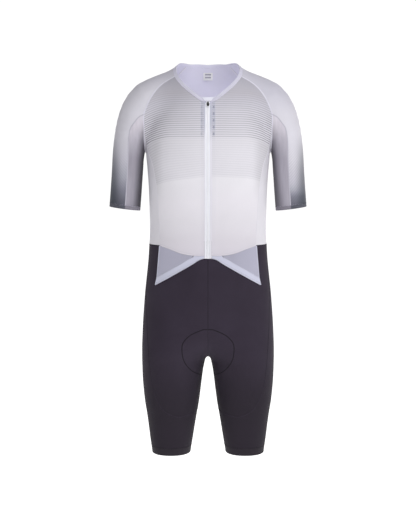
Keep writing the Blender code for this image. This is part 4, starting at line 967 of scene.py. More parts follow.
# The tails: open mesh triangles that hang from the front panels over the hips, each with an elastic band
# along its lower edge. They lie on the shorts.
TAIL_INNER_DROP = 0.0042
TAIL_EDGE = ((0.0420, -0.4903), (0.0680, -0.5056), (0.0987, -0.5235))
TAIL_CORNER, TAIL_POINT = (0.1273, -0.5420), (0.1321, -0.5621)
BAND_FOOT = ((0.0200, -0.4950), (0.0370, -0.5056), (0.0630, -0.5210), (0.0937, -0.5392))
BAND_MIDDLE = (ZIP_EDGE, -0.4920)
TAIL_ROWS, BAND_ROWS, NET_PITCH = 30, 7, 0.0024
NET_THICKNESS, TAIL_BAND_THICKNESS = 0.0008, 0.0012


def mesh_look(coordinates, cut):
    """Open net: round holes in staggered rows, each darker than the threads round it."""
    over, down, _ = parts_of(cut)
    hole = (over.wave(NET_PITCH) * down.wave(NET_PITCH)).maths("ABSOLUTE").between(0.30, 0.75)
    tone = hole.ramp([(0.0, paint(190, 189, 207)), (1.0, paint(162, 161, 180))])
    return toned(tone, mottled(coordinates, 20.0, 0.94, 1.04)), hole * -0.00025


def tail_band_look(coordinates, cut):
    """The elastic a little lighter than the net, with its fine ribs."""
    over, _, _ = parts_of(cut)
    rib = over.wave(0.0014)
    return toned(paint(203, 204, 222), mottled(coordinates, 24.0, 0.94, 1.04) + rib * 0.015), rib * 0.00005


tail_net = finish_of("tail_net", mesh_look, 0.80, sheen=0.1)
tail_elastic = finish_of("tail_elastic", tail_band_look, 0.74, sheen=0.1)
hem_flat = front_grid[-1][:, [0, 2]]
inner_corner = hem_flat[2 * FINER] - (0, TAIL_INNER_DROP)
tail_upper = hem_flat[2 * FINER :]
tail_lower = spaced([inner_corner, *TAIL_EDGE, TAIL_CORNER], len(tail_upper) - 1)
tail_flat = coons(
    tail_upper, tail_lower, spaced([tail_upper[0], inner_corner], TAIL_ROWS),
    spaced([tail_upper[-1], TAIL_CORNER], TAIL_ROWS),
)
tail_grid = seen(tail_flat, -1)
tail_grid[0] = front_grid[-1][2 * FINER :]
band_upper = np.concatenate([hem_flat[: 2 * FINER], tail_lower])
band_lower = spaced([BAND_MIDDLE, *BAND_FOOT, TAIL_POINT], len(band_upper) - 1)
band_down = np.linspace(0, 1, BAND_ROWS)[:, None, None]
band_grid = seen((1 - band_down) * band_upper + band_down * band_lower, -1)
for side, way in SIDES:
    tailor(
        "tail_" + side, [tail_grid * way], [tail_net], "tail_mesh", NET_THICKNESS, overlap(tail_grid),
        rests_on=["shorts_front_" + side],
    )
    band_shell = TAIL_BAND_THICKNESS, overlap(band_grid)
    elastic = cloth("tail_band_" + side + "_cloth", [band_grid * way], [tail_elastic], *band_shell)
    trim(elastic, "tail_" + side, "band_lavender", "tail_band_" + side)

# The shorts: heavier stretch knit in charcoal with a purple cast, a front and a back panel for each leg that
# meet in the middle, at the inseam and at the panel down the outside of the thigh.
LEG_SEAM = np.array((
    (-0.4626, 84.0), (-0.540, 79.0), (-0.620, 70.0), (-0.700, 57.0), (-0.746, 47.0),
    (-0.781, 42.0), (-0.826, 36.0), (-0.866, 24.0), (-0.888, 11.0), (-0.897, 0.0),
))
LEG_BAND_TOP = ((-0.9025, -12.0), (-0.9010, -30.0), (-0.8980, -50.0), (-0.8950, -90.0))
LEG_HEM_TOP, LEG_END = -0.9893, -1.0090
LEG_DEGREE = 0.0014
CROTCH_SEARCH = (-0.70, -0.80)
SEAT_STEPS, INSEAM_STEPS, SHORTS_STEPS, STRIP_STEPS = 12 * FINER, 4 * FINER, 9 * FINER, 10 * FINER
LEG_BAND_ROWS, HEM_ROWS = 22, 6


def trunk_point(turn, height):
    """The form at a turn in degrees from the leg's front: its section's oval, at that angle's powers."""
    centre, half, middle, depth = section(height)
    turn = np.radians(turn)
    power = 2 / OVAL_POWER
    across = centre + half * np.sign(np.sin(turn)) * np.abs(np.sin(turn)) ** power
    along = middle - depth * np.sign(np.cos(turn)) * np.abs(np.cos(turn)) ** power
    x = np.sqrt(np.maximum(across**2 - CROTCH_ROUND**2, 0))
    return np.stack([x, along, np.broadcast_to(height, x.shape)], axis=-1)


def middle_turn(height):
    """The turn at which the leg's oval reaches the suit's middle, down to -90 below the crotch."""
    centre, half, _, _ = section(height)
    reach = np.clip((CROTCH_ROUND - centre) / half, -1, 1)
    return np.degrees(np.arcsin(np.sign(reach) * np.abs(reach) ** (OVAL_POWER / 2)))


def charcoal_look(coordinates, cut):
    """Charcoal knit, a touch redder where it is drawn thin, darker down the legs below the crotch, with fine
    ribs down the leg.
    """
    slow = mottled(coordinates, 9.0, 0.0, 1.0)
    _, _, height = parts_of(coordinates)
    tone = slow.ramp([(0.3, paint(49, 42, 54)), (0.7, paint(54, 47, 60))])
    tone = tone.mix(paint(38, 33, 41), height.between(-0.700, -0.900) * 0.80)
    grain = coordinates.node("TexNoise", {}, {"Vector": coordinates, "Scale": 900.0, "Detail": 1.0})
    return toned(tone, grain * 0.24 + 0.88), knit_height(cut, 0.0016, 0.0013, 0.00007)


def inside_look(coordinates, cut):
    """The shorts' inner face: darker and plainer."""
    colour = toned(paint(46, 42, 50), mottled(coordinates, 30.0, 0.92, 1.05))
    return colour, knit_height(cut, 0.0016, 0.0012, 0.00005)


charcoal = finish_of("charcoal_knit", charcoal_look, 0.78, sheen=0.03)
charcoal_lining = finish_of("charcoal_lining", inside_look, 0.80)
leg_scale = np.array((LEG_DEGREE, 1.0))
leg_seam = spaced(LEG_SEAM[:, ::-1] * leg_scale, SEAT_STEPS + INSEAM_STEPS) / leg_scale
leg_band = [(turn, height) for height, turn in (LEG_SEAM[-1], *LEG_BAND_TOP)]
leg_band = spaced(np.array(leg_band) * leg_scale, SHORTS_STEPS) / leg_scale

search = np.linspace(*CROTCH_SEARCH, 4001)
search_centre, search_half, _, _ = section(search)
crotch = search[np.argmax(search_centre - search_half > CROTCH_ROUND)]
fine_heights = np.linspace(LEG_SEAM[0][0], crotch, 3000)
fine_reach = lengths(trunk_point(middle_turn(fine_heights), fine_heights))
inner_heights = np.concatenate([
    np.interp(np.linspace(0, fine_reach[-1], SEAT_STEPS + 1), fine_reach, fine_heights),
    np.linspace(crotch, LEG_BAND_TOP[-1][0], INSEAM_STEPS + 1)[1:],
])
inner_line = np.stack([middle_turn(inner_heights), inner_heights], axis=1)
shorts_top = np.linspace(inner_line[0], leg_seam[0], SHORTS_STEPS + 1)
shorts_turn, shorts_height = np.moveaxis(coons(shorts_top, leg_band[::-1], inner_line, leg_seam), -1, 0)
shorts_grids = {
    "front": trunk_point(shorts_turn, shorts_height),
    "back": trunk_point(180 - shorts_turn, shorts_height),
}
for grid in shorts_grids.values():
    grid[: SEAT_STEPS + 1, 0, 0] = 0
for part, grid in shorts_grids.items():
    for side, way in SIDES:
        tailor(f"shorts_{part}_{side}", [grid * way], [charcoal, charcoal_lining], "shorts_charcoal")

# The leg panels: one piece a side, a strip down the outside of the thigh that turns into a band round the
# leg, with a gripper hem below it.
strip_turns = leg_seam[:, :1] + np.linspace(0, 1, STRIP_STEPS + 1) * (180 - 2 * leg_seam[:, :1])
strip_grid = trunk_point(strip_turns, np.broadcast_to(leg_seam[:, 1:], strip_turns.shape))
foot_turns = np.concatenate([leg_band[::-1, 0], strip_turns[-1, 1:], 180 - leg_band[1:, 0]])
foot_heights = np.concatenate([leg_band[::-1, 1], np.full(STRIP_STEPS, leg_seam[-1, 1]), leg_band[1:, 1]])
ring_down = np.linspace(0, 1, LEG_BAND_ROWS + 1)[:, None]
ring_heights = foot_heights + ring_down * (LEG_HEM_TOP - foot_heights)
ring_grid = trunk_point(np.broadcast_to(foot_turns, ring_heights.shape), ring_heights)
ring_grid[:, -1] = ring_grid[:, 0]
strip_grid[-1] = ring_grid[0, SHORTS_STEPS : SHORTS_STEPS + STRIP_STEPS + 1]
hem_heights = np.linspace(LEG_HEM_TOP, LEG_END, HEM_ROWS)[:, None] + 0 * foot_turns
hem_grid = trunk_point(np.broadcast_to(foot_turns, hem_heights.shape), hem_heights)
hem_grid[:, -1] = hem_grid[:, 0]


def gripper_look(coordinates, cut):
    """Dense elastic, a little glossier than the knit, ribbed across."""
    over, _, _ = parts_of(cut)
    rib = over.wave(0.0022)
    return toned(paint(43, 38, 46), mottled(coordinates, 24.0, 0.93, 1.05) + rib * 0.03), rib * 0.00006


gripper = finish_of("gripper_elastic", gripper_look, 0.70, sheen=0.03)
for side, way in SIDES:
    leg_grids = [strip_grid * way, ring_grid * way]
    tailor("leg_panel_" + side, leg_grids, [charcoal, charcoal_lining], "shorts_charcoal")
    hem = cloth("leg_hem_" + side + "_cloth", [hem_grid * way], [gripper, charcoal_lining], HEM_THICKNESS)
    trim(hem, "leg_panel_" + side, "hem_charcoal", "leg_hem_" + side)

# The seat pad: moulded foam in soft cloth inside the crotch, plump in the middle and pressed thin at its
# edge and along its channels. It is shaped here, since its form is pressed and not stuffed.
SEAT_PAD = np.array((
    (0.00, 0.012), (0.03, 0.035), (0.09, 0.060), (0.18, 0.069), (0.30, 0.064), (0.42, 0.054),
    (0.52, 0.052), (0.64, 0.064), (0.78, 0.080), (0.90, 0.078), (0.97, 0.058), (1.00, 0.025),
))
SEAT_PAD_FRONT, SEAT_PAD_BACK = -0.671, -0.690
PAD_THICKNESS, PAD_EDGE, PAD_CLEARANCE = 0.006, 0.0016, 0.0022
PAD_CHANNELS, PAD_CHANNEL_WIDTH, PAD_CHANNEL_DEPTH = (0.0, 0.42, 0.78), 0.05, 0.0022
PAD_ROWS, PAD_HALF_COLUMNS = 97, 30
CLOTH = 0.0015


def pad_look(coordinates, cut):
    """Soft grey cloth over foam, with a fine nap."""
    colour = toned(paint(134, 132, 142), mottled(coordinates, 60.0, 0.92, 1.06))
    return colour, knit_height(cut, 0.0022, 0.0022, 0.00008)


def creep(start, count, steps):
    """Lines that leave the middle sideways and follow the form, each row by its own step."""
    way = np.tile((1.0, 0.0, 0.0), (len(start), 1))
    lines = [start]
    for _ in range(count):
        out = outward(lines[-1])
        way = way - (way * out).sum(axis=-1, keepdims=True) * out
        way /= np.linalg.norm(way, axis=-1, keepdims=True)
        lines.append(settle(lines[-1] + way * steps[:, None]))
    return lines


pad_down = np.linspace(SEAT_PAD_FRONT, crotch, 1500)
pad_up = np.linspace(crotch, SEAT_PAD_BACK, 1500)[1:]
pad_middle = np.concatenate([
    trunk_point(middle_turn(pad_down), pad_down), trunk_point(180 - middle_turn(pad_up), pad_up)
]) * (0, 1, 1)
pad_reach = lengths(pad_middle)
pad_share = np.linspace(0, 1, PAD_ROWS)
pad_line = settle(
    np.stack([np.interp(pad_share * pad_reach[-1], pad_reach, column) for column in pad_middle.T], axis=1)
)
pad_lines = creep(pad_line, PAD_HALF_COLUMNS, smooth(pad_share, *SEAT_PAD.T) / PAD_HALF_COLUMNS)
pad_grid = np.stack([line * (-1, 1, 1) for line in pad_lines[:0:-1]] + pad_lines, axis=1)
pad_across = np.linspace(-1, 1, 2 * PAD_HALF_COLUMNS + 1)
pad_plump = (1 - pad_across**4)[None] * (1 - (2 * pad_share - 1) ** 8)[:, None]
pad_channel = sum(np.exp(-(((np.abs(pad_across) - at) / PAD_CHANNEL_WIDTH) ** 2)) for at in PAD_CHANNELS)
pad_depth = PAD_EDGE + (PAD_THICKNESS - PAD_EDGE) * pad_plump - PAD_CHANNEL_DEPTH * pad_plump * pad_channel
pad_cloth = finish_of("pad_cloth", pad_look, 0.85, sheen=0.1)
pad_shell = pad_depth.reshape(-1), -CLOTH - PAD_CLEARANCE
pad = cloth("seat_pad_foam", [pad_grid], [pad_cloth], *pad_shell, gap=0.0, creased=0.0)
stands(pad, "pad_grey", "seat_pad")

# The neck label: a small white satin rectangle with two plain woven bars. It lies inside the back of the
# neck, against the lining.
LABEL_SIZE, LABEL_HEIGHT, LABEL_THICKNESS, LABEL_CLEARANCE = (0.025, 0.019), -0.026, 0.0008, 0.0008
LABEL_BARS = ((0.0040, 0.0023), (-0.0032, 0.0023))


def label_look(coordinates, cut):
    """White satin with two grey bars across it, at their heights above the label's middle."""
    across, _, height = parts_of(coordinates)
    inside = across.maths("ABSOLUTE").between(0.0084, 0.0074)
    upper, lower = (
        (height - (LABEL_HEIGHT + middle)).maths("ABSOLUTE").between(half, half - 0.0004)
        for middle, half in LABEL_BARS
    )
    bars = (upper + lower) * inside
    over, _, _ = parts_of(cut)
    tone = bars.ramp([(0.0, paint(252, 252, 253)), (1.0, paint(184, 182, 192))])
    return toned(tone, mottled(coordinates, 90.0, 0.97, 1.02)), over.wave(0.0006) * 0.00002


satin = finish_of("label_satin", label_look, 0.45, sheen=0.1)
label_across = np.linspace(-0.5, 0.5, 13) * LABEL_SIZE[0]
label_up = np.linspace(0.5, -0.5, 9) * LABEL_SIZE[1] + LABEL_HEIGHT
label_grid = seen(np.stack(np.meshgrid(label_across, label_up), axis=-1), 1)
label = cloth("neck_label_satin", [label_grid], [satin], LABEL_THICKNESS, -CLOTH - LABEL_CLEARANCE, 0.0)
stands(label, "zip_white", "neck_label")

# The zip's tapes: two white woven strips down the middle of the front, one on each side of the teeth, sewn
# to the edges of the front panels.
ZIP_TAPE_INNER, TAPE_START, ZIP_ROWS = 0.0032, 0.0012, 160
ZIP_RAISE, TAPE_THICKNESS = 0.0008, 0.0008


def tape_look(coordinates, cut):
    """White woven tape: fine threads both ways, and the facing's cloth folded over its outer edges."""
    over, down, _ = parts_of(cut)
    across, _, level = parts_of(coordinates)
    fold = across.between(0.0043, 0.0050) + across.between(-0.0064, -0.0071)
    folded = level.between(-0.150, -0.205).ramp([(0.0, FACING_TONE), (1.0, paint(221, 219, 228))])
    weave = over.wave(0.0007) * down.wave(0.0007)
    tone = folded.mix(paint(240, 241, 248), 1.0 - fold)
    return toned(tone, mottled(coordinates, 60.0, 0.97, 1.02)), weave * 0.00003


tape_weave = finish_of("tape_weave", tape_look, 0.70)
tape_top = np.interp((0.0, ZIP_TAPE_INNER, ZIP_EDGE), neck_foot[:3, 0], neck_foot[:3, 2]) - TAPE_START
tape_across = np.linspace(ZIP_TAPE_INNER, ZIP_EDGE, 4)
tape_tops = np.interp(tape_across, (ZIP_TAPE_INNER, ZIP_EDGE), tape_top[1:])
tape_down = np.linspace(0, 1, ZIP_ROWS)[:, None]
tape_heights = tape_tops + tape_down * (BAND_MIDDLE[1] - tape_tops)
tape_grid = seen(np.stack([np.broadcast_to(tape_across, tape_heights.shape), tape_heights], axis=-1), -1)
for side, way in SIDES:
    tape = cloth(
        "zip_tape_" + side + "_weave", [tape_grid * way], [tape_weave], TAPE_THICKNESS, overlap(tape_grid)
    )
    trim(tape, "front_" + side, "band_lavender", "zip_tape_" + side)

# The zip's teeth: small moulded blocks, those of the two sides set in turn, on a white woven backing that
# closes the gap between the tapes. The slider runs on them.
TOOTH_PITCH, TOOTH_HALF_HEIGHT, TOOTH_DEPTH = 0.0013, 0.00050, 0.0009
TOOTH_ROOT, TOOTH_HEAD, TOOTH_TAPER = 0.0030, -0.0007, 0.00018
BACKING_THICKNESS, BACKING_SUNK = 0.0006, 0.0001


def moulded_look(coordinates, cut):
    """White moulded plastic with a faint unevenness."""
    colour = toned(paint(250, 250, 254), mottled(coordinates, 400.0, 0.97, 1.02))
    return colour, mottled(coordinates, 900.0, 0.0, 0.00002)


moulded = finish_of("moulded_white", moulded_look, 0.38, coat=0.15)
teeth_heights = np.arange(tape_top[0] - 0.001, BAND_MIDDLE[1], -TOOTH_PITCH)
teeth_side = np.where(np.arange(len(teeth_heights)) % 2 == 0, 1.0, -1.0)
teeth_seat = seen(np.stack([np.zeros_like(teeth_heights), teeth_heights], axis=-1), -1)
teeth_out = outward(teeth_seat)
teeth_up = np.stack([0 * teeth_heights, teeth_out[:, 2], -teeth_out[:, 1]], axis=1)
# One tooth: across, up and out, its outer face a little smaller than its base.
tooth = np.array([
    (across, up * (TOOTH_HALF_HEIGHT - inset), out)
    for out, inset in ((-0.0004, 0.0), (TOOTH_DEPTH * 0.6, 0.0), (TOOTH_DEPTH, TOOTH_TAPER))
    for across, up in ((TOOTH_ROOT, -1), (TOOTH_ROOT, 1), (TOOTH_HEAD + inset, 1), (TOOTH_HEAD + inset, -1))
])
tooth_faces = np.array(
    [(3, 2, 1, 0), (8, 9, 10, 11)]
    + [(4 * ring + side, 4 * ring + (side + 1) % 4, 4 * ring + 4 + (side + 1) % 4, 4 * ring + 4 + side)
       for ring in (0, 1) for side in range(4)]
)
teeth_lift = overlap(teeth_seat)
teeth_points = (
    teeth_seat[:, None]
    + teeth_side[:, None, None] * tooth[None, :, :1] * np.array((1.0, 0.0, 0.0))
    + tooth[None, :, 1:2] * teeth_up[:, None]
    + (tooth[None, :, 2:] + teeth_lift[:, None, None]) * teeth_out[:, None]
)
teeth_faces = tooth_faces[None] + 12 * np.arange(len(teeth_heights))[:, None, None]
teeth_faces = np.where(teeth_side[:, None, None] > 0, teeth_faces[..., ::-1], teeth_faces)
teeth_map = np.zeros((teeth_faces.size, 2))
teeth_points, teeth_faces = teeth_points.reshape(-1, 3), teeth_faces.reshape(-1, 4)
teeth = new_object("zip_teeth", teeth_points, teeth_faces.tolist(), teeth_map, [moulded])
trim(teeth, "front_left", "zip_white", "zip_coil")
backing_across = (ZIP_TAPE_INNER - 0.0002) * np.linspace(-1, 1, 5)
backing_heights = np.linspace(tape_top[0], BAND_MIDDLE[1], ZIP_ROWS)
backing_grid = seen(np.stack(np.meshgrid(backing_across, backing_heights), axis=-1), -1)
backing = cloth(
    "zip_backing", [backing_grid], [tape_weave], BACKING_THICKNESS, overlap(backing_grid) - BACKING_SUNK, 0.0
)
trim(backing, "front_left", "zip_white")

# The zip's garage: a small cover of folded jersey over the top of the teeth, where the neckband's ends meet,
# sewn down at its edge.
GARAGE = np.array(((-0.0915, 0.0145), (-0.0960, 0.0110), (-0.1008, 0.0078)))
GARAGE_THICKNESS, GARAGE_RAISE = 0.0010, 0.0019


def garage_look(coordinates, cut):
    """White folded knit."""
    colour = toned(paint(229, 229, 241), mottled(coordinates, 70.0, 0.97, 1.02))
    return colour, knit_height(cut, 0.0012, 0.0010, 0.00004)


garage_knit = finish_of("garage_knit", garage_look, 0.75, sheen=0.1)
garage_heights = np.linspace(GARAGE[0, 0], GARAGE[-1, 0], 13)
garage_flat = np.stack(np.meshgrid(np.linspace(-1, 1, 21), garage_heights), axis=-1)
garage_flat[..., 0] *= np.interp(-garage_flat[..., 1], -GARAGE[:, 0], GARAGE[:, 1])
garage = cloth("zip_garage_knit", [seen(garage_flat, -1)], [garage_knit], GARAGE_THICKNESS, GARAGE_RAISE)
trim(garage, "front_left", "jersey_white", "zip_garage")

# The slider: a white moulded body that is widest at its top, with two ears that hold the pull's pin. It
# runs on the teeth.
SLIDER_HEIGHT = -0.1072
SLIDER_DEPTH, SLIDER_TOP = 0.0022, 0.0055
SLIDER_HALF = ((-0.0055, 0.0024), (-0.0042, 0.0031), (0.0000, 0.0035), (0.0030, 0.0040), (0.0055, 0.0034))
EAR_INSIDE, EAR_PAST_PIN, EAR_HALF_HEIGHT, EAR_DEPTH = 0.0021, 0.0011, 0.0014, 0.0024
EAR_LAYERS = ((0.0, 0.0001), (0.0001, 0.0), (0.0009, 0.0), (0.0010, 0.0001))
PIN_STAND_OFF, PIN_BELOW_TOP, PIN_RADIUS, PIN_HALF_LENGTH = 0.0019, 0.0030, 0.0006, 0.0026

slider_seat = seen([(0.0, SLIDER_HEIGHT)], -1)
slider_out = outward(slider_seat)[0]
slider_lean = -math.atan2(slider_out[2], -slider_out[1])
SLIDER_UNDER = -ZIP_RAISE - SEAM_GAP
SLIDER_FACE = SLIDER_UNDER - SLIDER_DEPTH
PIN = np.array((0.0, SLIDER_FACE - PIN_STAND_OFF, SLIDER_TOP - PIN_BELOW_TOP))


def on_slider(points):
    """From the slider's own axes (across, out of the front as -Y, up) to the suit's."""
    level, rise = math.cos(slider_lean), math.sin(slider_lean)
    lean = np.array(((1, 0, 0), (0, level, -rise), (0, rise, level)))
    return points @ lean.T + slider_seat[0]


def rings_mesh(rings, closed=False):
    """The points, faces and map of a tube of rings, with its ends capped or, if closed, joined."""
    count, sides = rings.shape[:2]
    first = np.arange(sides)
    after = (first + 1) % sides
    start = np.arange(count - 1)[:, None] * sides
    quads = np.stack([start + first, start + sides + first, start + sides + after, start + after], axis=-1)
    along = lengths(rings[:, 0])
    girth = np.linalg.norm(rings[0] - np.roll(rings[0], 1, axis=0), axis=1).sum()
    over = np.arange(sides + 1) / sides * girth
    ends = (over[:-1], along[:-1]), (over[:-1], along[1:]), (over[1:], along[1:]), (over[1:], along[:-1])
    loops = np.stack([np.stack(np.broadcast_arrays(x, y[:, None]), axis=-1) for x, y in ends], axis=-2)
    faces, loops, last = quads.reshape(-1, 4), loops.reshape(-1, 2), (count - 1) * sides
    if closed:
        return rings[:-1].reshape(-1, 3), np.where(faces >= last, faces - last, faces).tolist(), loops
    caps = [list(range(sides)), list(range(last, last + sides))[::-1]]
    return rings.reshape(-1, 3), faces.tolist() + caps, np.concatenate([loops, np.zeros((2 * sides, 2))])


def layered(outline, layers):
    """A closed solid of one outline in the plane of across and up, repeated at depths: each layer is a depth
    and how far the outline is drawn in there."""
    away = np.roll(outline, -1, axis=0) - np.roll(outline, 1, axis=0)
    normal = np.stack([away[:, 1], -away[:, 0]], axis=1) / np.linalg.norm(away, axis=1, keepdims=True)
    rings = [np.insert(outline - inset * normal, 1, depth, axis=1) for depth, inset in layers]
    return rings_mesh(np.array(rings))


def round_outline(rows, steps):
    """A closed outline from rows of a height and a half width, counter-clockwise from its foot, each side a
    smooth line through the rows."""
    rows = np.array(rows)
    heights = np.linspace(rows[0, 0], rows[-1, 0], steps)
    half = smooth(heights, rows[:, 0], rows[:, 1])
    return np.concatenate([np.stack([half, heights], axis=1), np.stack([-half, heights], axis=1)[::-1]])


def joined(meshes):
    """Several sets of points, faces and maps as one."""
    points, faces, loops = zip(*meshes)
    starts = np.cumsum([0] + [len(more) for more in points]).tolist()
    faces = [[index + start for index in face] for start, these in zip(starts, faces) for face in these]
    return np.concatenate(points), faces, np.concatenate(loops)


def rod(middle, radius, half_length, sides, bevel):
    """A round rod across, with bevelled ends."""
    turn = np.arange(sides) * 2 * math.pi / sides
    rows = ((half_length, radius - bevel), (half_length - bevel, radius),
            (bevel - half_length, radius), (-half_length, radius - bevel))
    rings = [np.stack([np.full(sides, x), r * np.cos(turn), r * np.sin(turn)], axis=1) for x, r in rows]
    return rings_mesh(np.array(rings) + middle)


ear_heights = np.linspace(-EAR_HALF_HEIGHT, EAR_HALF_HEIGHT, 9)
ear_depths = EAR_HALF_HEIGHT * np.sqrt(np.maximum(0.06, 1 - (ear_heights / EAR_HALF_HEIGHT) ** 2))
ear_outline = np.concatenate([
    np.stack([ear_depths, ear_heights], axis=1),
    np.stack([np.full(9, -EAR_DEPTH), ear_heights[::-1]], axis=1),
])
ears = []
for side in (1, -1):
    # An ear's outline lies in the plane of depth and up, so the layers run across it.
    ear, *rest = layered(ear_outline, EAR_LAYERS[::side])
    past = PIN[1] - ear[:, 0] * EAR_PAST_PIN / EAR_HALF_HEIGHT
    ears.append((np.stack([side * (EAR_INSIDE + ear[:, 1]), past, PIN[2] + ear[:, 2]], axis=1), *rest))
body = layered(round_outline(SLIDER_HALF, 15), (
    (SLIDER_FACE, 0.0009), (SLIDER_FACE + 0.00015, 0.0005), (SLIDER_FACE + 0.0004, 0.0002),
    (SLIDER_FACE + 0.0007, 0.0), (SLIDER_FACE + 0.0010, 0.0), (SLIDER_FACE + 0.0011, 0.0004),
    (SLIDER_UNDER - 0.0004, 0.0004), (SLIDER_UNDER - 0.0003, 0.0), (SLIDER_UNDER, 0.0001),
))
slider_points, slider_faces, slider_map = joined([
    body, *ears, rod(PIN, PIN_RADIUS, PIN_HALF_LENGTH + 0.0004, 16, 0.0001)
])
slider = new_object("zip_slider_body", on_slider(slider_points), slider_faces, slider_map, [moulded])
trim(slider, "front_left", "zip_white", "zip_slider")

# The pull tab: black moulded plastic, a barrel that turns on the slider's pin and a tapering plate with a
# raised rim that hangs from it.
BARREL_RADIUS, BARREL_HALF_LENGTH = 0.0015, 0.0017
PULL = (
    (-0.0105, 0.0012), (-0.0102, 0.0019), (-0.0085, 0.0027), (-0.0066, 0.0032), (-0.0040, 0.0034),
    (-0.0028, 0.0027), (-0.0020, 0.0017), (-0.0008, 0.0016),
)
PULL_HALF_THICKNESS = 0.0006


def pull_look(coordinates, cut):
    """Black plastic, a little scuffed."""
    colour = toned(paint(22, 22, 25), mottled(coordinates, 500.0, 0.8, 1.2))
    return colour, mottled(coordinates, 1200.0, 0.0, 0.00003)


black = finish_of("moulded_black", pull_look, 0.35, coat=0.2)
tab = layered(round_outline(PULL, 22), (
    (-PULL_HALF_THICKNESS, 0.0007), (0.00018 - PULL_HALF_THICKNESS, 0.0006),
    (0.00018 - PULL_HALF_THICKNESS, 0.0005), (-PULL_HALF_THICKNESS, 0.0003),
    (0.00015 - PULL_HALF_THICKNESS, 0.0), (PULL_HALF_THICKNESS - 0.00015, 0.0),
    (PULL_HALF_THICKNESS, 0.00015),
))
barrel = rod(np.zeros(3), BARREL_RADIUS, BARREL_HALF_LENGTH, 24, 0.00015)
pull_points, pull_faces, pull_map = joined([tab, barrel])
pull = new_object("zip_pull_tab", on_slider(pull_points + PIN), pull_faces, pull_map, [black])
stands(pull, "pull_black", "zip_pull", body="pull")

# The sewing: flat seams under narrow elastic strips in the colour of the panels they join, held by zigzag
# thread, stitched hems, and inside a strip along each of the back's raglan seams.
STRIP_SIDES, STRIP_SQUARE = 8, 0.6
THREAD_RADIUS = 0.00016


def strip_mesh(line, way, wide, thick, lift=0.0, aside=0.0, closed=False):
    """A flat oval profile carried along a line of the form, raised onto the creases and moved aside."""
    line = line * way
    along = np.gradient(line, axis=0)
    if closed:
        along[0] = along[-1] = line[1] - line[-2]
    along /= np.linalg.norm(along, axis=1, keepdims=True)
    out = outward(line)
    across = np.cross(along, out) * way[0]
    across /= np.linalg.norm(across, axis=1, keepdims=True)
    turn = np.arange(STRIP_SIDES) * 2 * math.pi / STRIP_SIDES * way[0]
    over = np.cos(turn) * wide / 2 + aside
    up = thick * np.sign(np.sin(turn)) * np.abs(np.sin(turn)) ** STRIP_SQUARE * way[0]
    middle = line + out * np.reshape(crease(line) + lift, (-1, 1))
    rings = middle[:, None] + across[:, None] * over[:, None] + out[:, None] * up[:, None]
    return rings_mesh(rings, closed)


def thread_mesh(line, way, pitch, swing, lift, aside=0.0, closed=False):
    """A thread that goes from side to side of a line at each half pitch. A straight one goes up and down."""
    line = line * way
    reach = lengths(line)
    count = 2 * max(2, round(reach[-1] / pitch))
    at = np.linspace(0, reach[-1], count + 1)
    points = np.stack([np.interp(at, reach, column) for column in line.T], axis=1)
    along = np.gradient(points, axis=0)
    along /= np.linalg.norm(along, axis=1, keepdims=True)
    out = outward(points)
    across = np.cross(along, out) * way[0]
    turn = np.where(np.arange(count + 1) % 2 == 0, 1.0, -1.0)
    raised = crease(points) + lift + (0.5 * THREAD_RADIUS * turn if swing < 0.0002 else 0.0)
    path = points + across * (aside + swing * turn)[:, None] + out * np.reshape(raised, (-1, 1))
    corner = np.arange(3) * 2 * math.pi / 3 * way[0]
    rings = (
        path[:, None]
        + across[:, None] * (THREAD_RADIUS * np.cos(corner))[:, None]
        + out[:, None] * (THREAD_RADIUS * np.sin(corner) * way[0])[:, None]
    )
    if closed:
        rings[-1] = rings[0]
    return rings_mesh(rings, closed)


def sewn(name, meshes, finish, panel, slot):
    """One piece of several strips or threads, sewn to a panel."""
    trim(new_object(name, *joined(meshes), [finish]), panel, slot)


def tape_tone(red, green, blue):
    """The look of a woven elastic strip of one colour, ribbed along its length."""
    def look(coordinates, cut):
        _, down, _ = parts_of(cut)
        rib = down.wave(0.0011)
        tone = mottled(coordinates, 60.0, 0.95, 1.04) + rib * 0.03
        return toned(paint(red, green, blue), tone), rib * 0.00004
    return look


pale_strip = finish_of("seam_pale", tape_tone(212, 210, 222), 0.70, sheen=0.1)
jersey_strip = finish_of("seam_jersey", tape_tone(216, 214, 221), 0.76, sheen=0.1)
tail_strip = finish_of("seam_tail", tape_tone(203, 204, 222), 0.74, sheen=0.1)
grey_strip = finish_of("seam_grey", tape_tone(186, 183, 195), 0.72, sheen=0.1)
dark_strip = finish_of("seam_dark", tape_tone(47, 41, 52), 0.78)
pad_strip = finish_of("seam_pad", tape_tone(31, 27, 35), 0.78)
pale_thread = finish_of("thread_pale", tape_tone(222, 220, 231), 0.60)
grey_thread = finish_of("thread_grey", tape_tone(176, 174, 186), 0.60)
cuff_thread = finish_of("thread_cuff", tape_tone(92, 90, 101), 0.65)
inner_strip = finish_of("seam_inside", tape_tone(244, 242, 252), 0.75)
inside_thread_and_shade = finish_of("thread_and_shade_inside", tape_tone(150, 148, 166), 0.65)
dark_thread = finish_of("thread_dark", tape_tone(38, 33, 42), 0.70)

